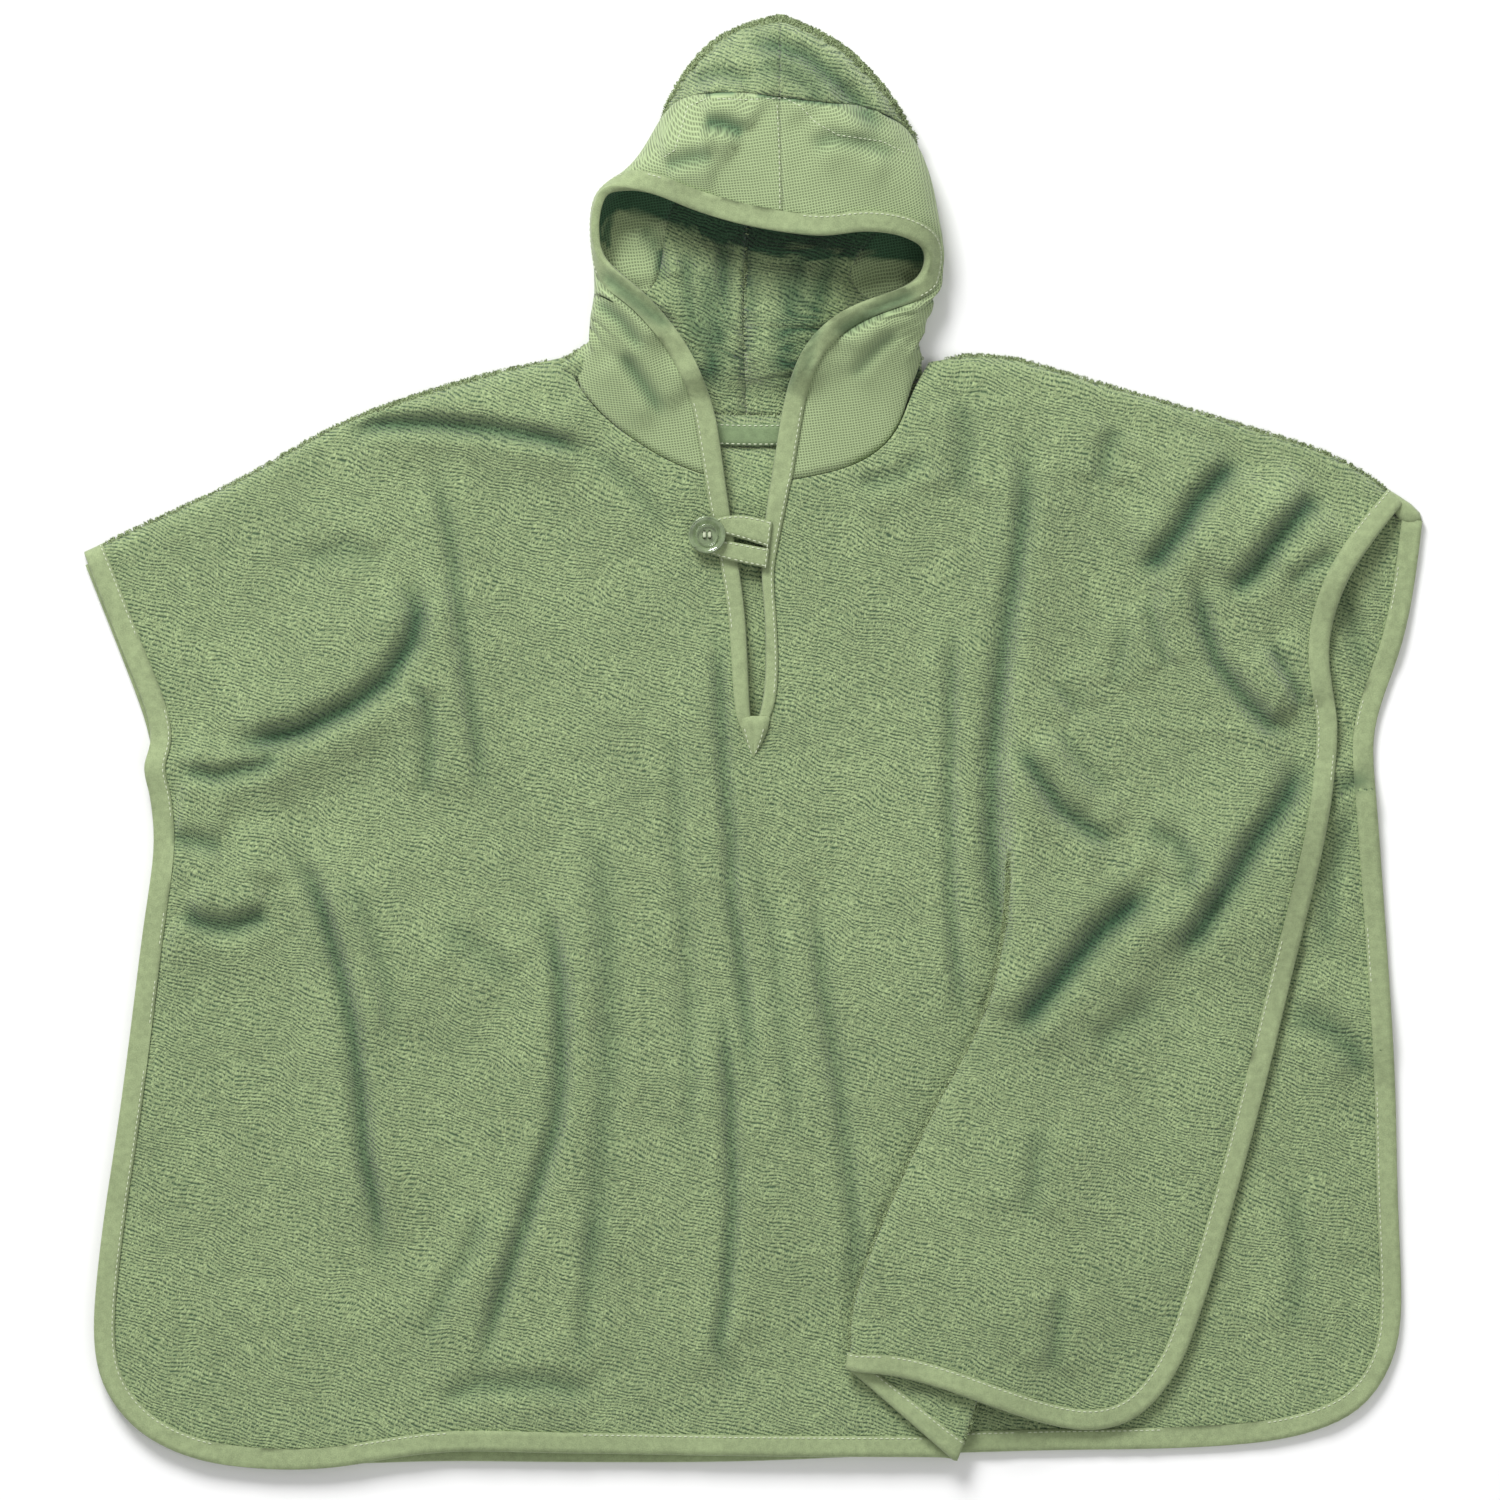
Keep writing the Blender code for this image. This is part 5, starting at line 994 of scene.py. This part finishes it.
def shade_hollow(names):
    """Paints shade deeper on the pile inside the hood, by how much of the light the hood hides from
    it.
    """
    tree = surface_tree(names)
    lights = [(way, max(0.0, way.dot(LIGHT_SIDE)) ** 2) for way in sky_directions()]
    for name in names:
        mesh = bpy.data.objects[name].data
        shade_amount = mesh.attributes["pressed"].data
        for vertex in mesh.vertices:
            start = vertex.co + vertex.normal * HOLLOW_CLEAR
            open_sky = [(way, share) for way, share in lights
                        if way.dot(vertex.normal) > INNER_FACING]
            whole = sum(share for _, share in open_sky)
            if whole == 0.0:
                continue
            hidden = sum(share for way, share in open_sky
                         if tree.ray_cast(start, way, HOLLOW_REACH)[3] is not None) / whole
            dark = max(0.0, hidden - HOLLOW_FREE) / (1.0 - HOLLOW_FREE) * HOLLOW_SHADE
            value = shade_amount[vertex.index]
            value.value = min(1.0, max(value.value, dark))


def evenly(points, step):
    """The same line with points about a step apart."""
    result = []
    for start, end in zip(points, points[1:]):
        count = max(1, round((end - start).length / step))
        result += [start.lerp(end, number / count) for number in range(count)]
    return result + [points[-1]]


class PONCHO_OT_body(bpy.types.Operator):
    """Adds the terry front with its folds and slit, and the terry back under it"""

    bl_idname = "poncho.body"
    bl_label = "Front and back"

    def execute(self, context):
        cloth_piece("front_panel", "front_cloth", "terry", FRONT_RELIEF)
        cloth_piece("back_panel", "back_cloth", "terry", BACK_RELIEF)
        return {"FINISHED"}


class PONCHO_OT_hood(bpy.types.Operator):
    """Adds the two halves of the terry crown and of the waffle band"""

    bl_idname = "poncho.hood"
    bl_label = "Hood"

    def execute(self, context):
        for side in ("left", "right"):
            crown = cloth_piece(f"hood_crown_{side}", f"crown_{side}_cloth", "terry",
                                HOOD_RELIEF)
            settle(crown.data, INNER_PILE)
            band = cloth_piece(f"hood_band_{side}", f"band_{side}_cloth", "waffle",
                               HOOD_RELIEF)
            lay_on_band(band.data)
        fold_end("neck_fold", "terry", NECK_FOLD, NECK_LEVELS)
        close_seams(HOOD_CLOTHS)
        shade_hollow(HOOD_CLOTHS)
        hood = surface_tree(HOOD_CLOTHS)
        for name, line in HOOD_SEAMS:
            points = evenly([on_cloth(*point) for point in line], SEAM_STEP)
            add_stitches(name, [seats_on(hood, points)], 0.0, SLOTS["waffle"])
        return {"FINISHED"}


# ---- Bound edges ----

# The two sides of the slit's tape, from where they part down to their common point
SLIT_LEFT = ((737, 716), (740, 728), (745, 742), (750, 752), (753, 758))
SLIT_RIGHT = ((770, 716), (768, 728), (763, 741), (757, 752), (753.6, 758))
BELOW_SLIT = (753, 764)
SLIT_STEPS = 3                       # rows of the mesh to each stretch
SLIT_STITCHES = 0.16                 # share of the width from the edge to the stitches
POINT_COLUMNS = 10
POINT_RISE, POINT_END_RISE = 0.55 * MM, 0.22 * MM
POINT_SINK = 2.4 * MM                # how far its sides and upper end go down
POINT_START = 0.12
POINT_SEAM, POINT_SEAM_WIDTH = 0.5 * MM, 0.14


def rounded_line(points, steps):
    """A smooth curve through the points."""
    result = []
    for number in range(len(points) - 1):
        before = points[max(0, number - 1)]
        start, end = points[number], points[number + 1]
        after = points[min(len(points) - 1, number + 2)]
        for step in range(steps):
            t = step / steps
            result.append(0.5 * (2 * start + (end - before) * t
                                 + (2 * before - 5 * start + 4 * end - after) * t * t
                                 + (3 * start - before - 3 * end + after) * t * t * t))
    return result + [points[-1]]


def slit_point():
    """The two ends of the slit's tape, mitred together in a point."""
    cloth = surface_tree(("opening_tape", "front_cloth"))
    left, right = (rounded_line([on_cloth(*point) for point in side], SLIT_STEPS)
                   for side in (SLIT_LEFT, SLIT_RIGHT))

    def top(place):
        return cloth.ray_cast(place + HIGH_ABOVE, -UP)[0].z

    high = max(top(left[1]), top(right[1]))
    low = top(on_cloth(*BELOW_SLIT))
    points = []
    for row, (first, second) in enumerate(zip(left, right)):
        share = row / (len(left) - 1)
        level = high + (low - high) * smooth(share)
        level += POINT_RISE + (POINT_END_RISE - POINT_RISE) * share
        level -= POINT_SINK * (1.0 - smooth(share / POINT_START))
        for column in range(POINT_COLUMNS + 1):
            across = column / POINT_COLUMNS
            edge = abs(2 * across - 1)
            seam = POINT_SEAM * math.exp(-(edge / POINT_SEAM_WIDTH) ** 2)
            points.append(first.lerp(second, across)
                          + UP * (level - POINT_SINK * edge ** 6 - seam))
    wide = POINT_COLUMNS + 1
    faces = [(a, a + wide, a + wide + 1, a + 1)
             for start in range(0, (len(left) - 1) * wide, wide)
             for a in range(start, start + POINT_COLUMNS)]
    add_piece("slit_point", shaded(mesh_of("slit_point", points, faces)), "tape")
    tree = surface_tree(("slit_point",))
    seats = []
    for side, toward in ((left, right), (right, left)):
        line = [place.lerp(other, SLIT_STITCHES) for place, other in zip(side, toward)]
        seats.append(seats_on(tree, line[SLIT_STEPS:-1]))
    add_stitches("slit_point_stitches", seats, 0.0)


class PONCHO_OT_bindings(bpy.types.Operator):
    """Adds the tapes folded round the edges, with their stitches and the slit's point"""

    bl_idname = "poncho.bindings"
    bl_label = "Bound edges"

    def execute(self, context):
        for edge, relief in (("opening", OPENING_RELIEF), ("front", FRONT_RELIEF),
                             ("back", BACK_RELIEF)):
            tape = cloth_piece(f"{edge}_binding", f"{edge}_tape", "tape", relief)
            add_stitches(f"{edge}_stitches",
                         chained(lip_seats(tape.data, surface_tree(CLOTHS))))
        slit_point()
        fold_end("corner_fold", "tape", CORNER_FOLD, CORNER_LEVELS)
        return {"FINISHED"}


# ---- Pile at the outline ----

TUFT_AREA = 1.25 * MM * MM            # cloth to each tuft
TUFT_HEIGHTS = (0.9 * MM, 2.1 * MM)
TUFT_SPREAD = 0.7 * MM
TUFT_RADIUS, TUFT_SIDES = 0.26 * MM, 3
TUFT_LEAN = 0.45
TUFT_ROOT = 0.3 * MM
# Points of a tuft: share of its spread to the side, and of its height
TUFT_ARCH = ((-1.0, 0.0), (-0.9, 0.7), (0.0, 1.0), (0.9, 0.7), (1.0, 0.0))
OUTLINE_REACH = 0.05
OUTLINE_CLEAR = 0.5 * MM
OUTLINE_FACING = (-0.35, 0.5)
BODY_SEED, CROWN_SEED = 3, 5


def tuft(draw, normal, corners):
    """The line of a loop of yarn that stands at a random place on a face."""
    base = corners[0].lerp(corners[1], draw.random()).lerp(
        corners[-1].lerp(corners[-2], draw.random()), draw.random())
    lean = Vector((draw.uniform(-1, 1), draw.uniform(-1, 1), draw.uniform(-1, 1)))
    out = (normal + lean * TUFT_LEAN).normalized()
    side = out.cross(lean).normalized() * TUFT_SPREAD
    tall = out * draw.uniform(*TUFT_HEIGHTS)
    low = base - normal * TUFT_ROOT
    arch = [low + side * across + tall * up for across, up in TUFT_ARCH]
    return [Vector((place.x, place.y, max(place.z, TUFT_RADIUS))) for place in arch]


def edge_pile(name, cloths, others, seed):
    """Loops of pile that stand out from the outline of unbound folds."""
    tree = surface_tree(cloths + others)
    draw = random.Random(seed)
    points, faces = [], []
    for cloth in cloths:
        mesh = bpy.data.objects[cloth].data
        for polygon in mesh.polygons:
            normal = polygon.normal
            if not OUTLINE_FACING[0] < normal.z < OUTLINE_FACING[1]:
                continue
            level = Vector((normal.x, normal.y, 0.0)).normalized()
            start = polygon.center + level * OUTLINE_CLEAR
            if tree.ray_cast(start, level, OUTLINE_REACH)[0] is not None:
                continue
            corners = [mesh.vertices[index].co for index in polygon.vertices]
            wanted = polygon.area / TUFT_AREA
            for _ in range(int(wanted) + (draw.random() < wanted % 1.0)):
                add_strand(points, faces, tuft(draw, normal, corners), TUFT_RADIUS, TUFT_SIDES)
    add_piece(name, shaded(mesh_of(name, points, faces)), "yarn")


class PONCHO_OT_pile(bpy.types.Operator):
    """Adds the loops that make the outline of the shoulders and the crown soft"""

    bl_idname = "poncho.pile"
    bl_label = "Pile at the outline"

    def execute(self, context):
        tapes = ("front_tape", "back_tape", "opening_tape")
        body = BODY_CLOTHS + ("neck_fold",)
        edge_pile("body_pile", body, tapes + HOOD_CLOTHS, BODY_SEED)
        edge_pile("crown_pile", CROWN_CLOTHS, tapes + body + BAND_CLOTHS, CROWN_SEED)
        return {"FINISHED"}


# ---- Neck tape, loop and button ----

TRIM_INSET = 0.9 * MM

BUTTON_AT = (707, 535)
BUTTON_ROUNDING, BUTTON_SHARP = 1, math.radians(40)
HOLE_SPACING = 2.6 * MM
STRAND_STEP = 0.42 * MM
# Places along a stitch and above the button's top, in mm
THREAD_ARCH = ((-1.35, -1.6), (-1.3, -0.5), (-0.9, 0.12), (0.0, 0.3), (0.9, 0.12), (1.3, -0.5),
               (1.35, -1.6))
THREAD_RADIUS, THREAD_SIDES = 0.27 * MM, 6
# Radius, height above the button's top and thickness of each turned ring
BUTTON_RINGS = ((8.75 * MM, -0.35 * MM, 0.62 * MM), (5.1 * MM, -0.22 * MM, 0.3 * MM))
RING_STEPS, RING_SIDES = 72, 8


class PONCHO_OT_trims(bpy.types.Operator):
    """Adds the tape inside the neck and the loop of the closure, with their stitches"""

    bl_idname = "poncho.trims"
    bl_label = "Neck tape and loop"

    def execute(self, context):
        for node, name, finish in (("neck_tape", "neck", "neck_tape"),
                                   ("button_loop", "loop", "tape")):
            mesh = shaded(rounded_copy(node, f"{name}_strip", finishes().rounding))
            add_piece(f"{name}_strip", mesh, finish, node)
            add_stitches(f"{name}_stitches", chained(lip_seats(mesh)), TRIM_INSET)
        return {"FINISHED"}


class PONCHO_OT_button(bpy.types.Operator):
    """Adds the four-hole button, the thread through it and its turned rings"""

    bl_idname = "poncho.button"
    bl_label = "Button"

    def execute(self, context):
        mesh = rounded_copy("button", "button_resin", BUTTON_ROUNDING, BUTTON_SHARP)
        add_piece("button_resin", shaded(mesh, BUTTON_SHARP), "button", "button")
        middle = on_cloth(*BUTTON_AT)
        middle.z = max(vertex.co.z for vertex in mesh.vertices)
        points, faces = [], []
        for side in (-1, 1):
            for strand in (-1, 0, 1):
                across = side * HOLE_SPACING / 2 + strand * STRAND_STEP
                arch = [middle + Vector((across, along * MM, rise * MM))
                        for along, rise in THREAD_ARCH]
                add_strand(points, faces, arch, THREAD_RADIUS, THREAD_SIDES)
        add_piece("button_thread", shaded(mesh_of("button_thread", points, faces)), "thread")
        points, faces = [], []
        turns = [2 * math.pi * step / RING_STEPS for step in range(RING_STEPS + 1)]
        for radius, rise, thick in BUTTON_RINGS:
            ring = [middle + Vector((radius * math.cos(turn), radius * math.sin(turn), rise))
                    for turn in turns]
            add_strand(points, faces, ring, thick, RING_SIDES)
        add_piece("button_rings", shaded(mesh_of("button_rings", points, faces)), "button")
        return {"FINISHED"}


# ---- Cloth sizes (none given) ----

class PONCHO_OT_sheets(bpy.types.Operator):
    """Does nothing: no piece is said to be cloth and no size is given"""

    bl_idname = "poncho.sheets"
    bl_label = "Cloth sizes"

    def execute(self, context):
        return {"FINISHED"}


# ---- Stage ----

VIEW_WIDTH = 0.75
VIEW_SQUARES = 1500
LENS_MM, SENSOR_MM = 600.0, 36.0
LENS_START = 0.1
FLOOR_HALF, FLOOR_LEVEL = 3.0, -0.4 * MM
WHITE = (1.0, 1.0, 1.0, 1.0)
# Name, place, share of the key light's power, and size
LAMPS = (("key", (-1.3, 3.1, 2.7), 1.0, 1.7), ("fill", (1.2, -1.6, 3.4), 0.12, 2.5))


class PONCHO_OT_stage(bpy.types.Operator):
    """Adds the floor, the light and the camera that looks straight down"""

    bl_idname = "poncho.stage"
    bl_label = "Stage"

    def execute(self, context):
        scene, stage = context.scene, context.scene.poncho_stage
        corners = [(x * FLOOR_HALF, y * FLOOR_HALF, FLOOR_LEVEL)
                   for x, y in ((-1, -1), (1, -1), (1, 1), (-1, 1))]
        floor = new_object("floor", mesh_of("floor", corners, [(0, 1, 2, 3)]),
                           paper_material("floor", tone(stage.floor_colour, 1.0)))

        world = bpy.data.worlds.new("studio")
        world.use_nodes = True
        sky = world.node_tree.nodes["Background"]
        sky.inputs["Color"].default_value = WHITE
        sky.inputs["Strength"].default_value = stage.sky
        scene.world = world

        for name, place, share, size in LAMPS:
            light = bpy.data.lights.new(name, "AREA")
            light.energy, light.size = stage.key_watts * share, size
            lamp = new_object(name, light)
            lamp.location = place
            lamp.rotation_euler = (-Vector(place)).to_track_quat("-Z", "Y").to_euler()

        scene.view_settings.view_transform = "Standard"
        lens = bpy.data.cameras.new("camera")
        lens.lens, lens.sensor_width = LENS_MM, SENSOR_MM
        distance = VIEW_WIDTH * LENS_MM / SENSOR_MM
        lens.clip_start, lens.clip_end = LENS_START, distance * 2
        camera = new_object("camera", lens)
        camera.location = on_cloth(VIEW_SQUARES / 2, VIEW_SQUARES / 2) + UP * distance
        scene.camera = camera
        return {"FINISHED"}


# ---- Add-on ----

OPERATORS = (PONCHO_OT_body, PONCHO_OT_hood, PONCHO_OT_bindings, PONCHO_OT_pile,
             PONCHO_OT_trims, PONCHO_OT_button, PONCHO_OT_sheets, PONCHO_OT_stage)


class PONCHO_PT_sidebar(bpy.types.Panel):
    """The poncho's pieces and settings"""

    bl_idname = "PONCHO_PT_sidebar"
    bl_label = "Surf poncho"
    bl_space_type = "VIEW_3D"
    bl_region_type = "UI"
    bl_category = "Poncho"

    def draw(self, context):
        for group in (context.scene.poncho_finishes, context.scene.poncho_stage):
            box = self.layout.box()
            for name in group.__annotations__:
                box.prop(group, name)
        for operator in OPERATORS:
            self.layout.operator(operator.bl_idname)


CLASSES = (PonchoFinishes, PonchoStage) + OPERATORS + (PONCHO_PT_sidebar,)


def register():
    for item in CLASSES:
        bpy.utils.register_class(item)
    bpy.types.Scene.poncho_finishes = bpy.props.PointerProperty(type=PonchoFinishes)
    bpy.types.Scene.poncho_stage = bpy.props.PointerProperty(type=PonchoStage)


def unregister():
    del bpy.types.Scene.poncho_stage
    del bpy.types.Scene.poncho_finishes
    for item in reversed(CLASSES):
        bpy.utils.unregister_class(item)


def main():
    register()
    for step in (bpy.ops.poncho.body, bpy.ops.poncho.hood, bpy.ops.poncho.bindings,
                 bpy.ops.poncho.pile, bpy.ops.poncho.trims, bpy.ops.poncho.button,
                 bpy.ops.poncho.sheets, bpy.ops.poncho.stage):
        step()


if __name__ == "__main__":
    main()
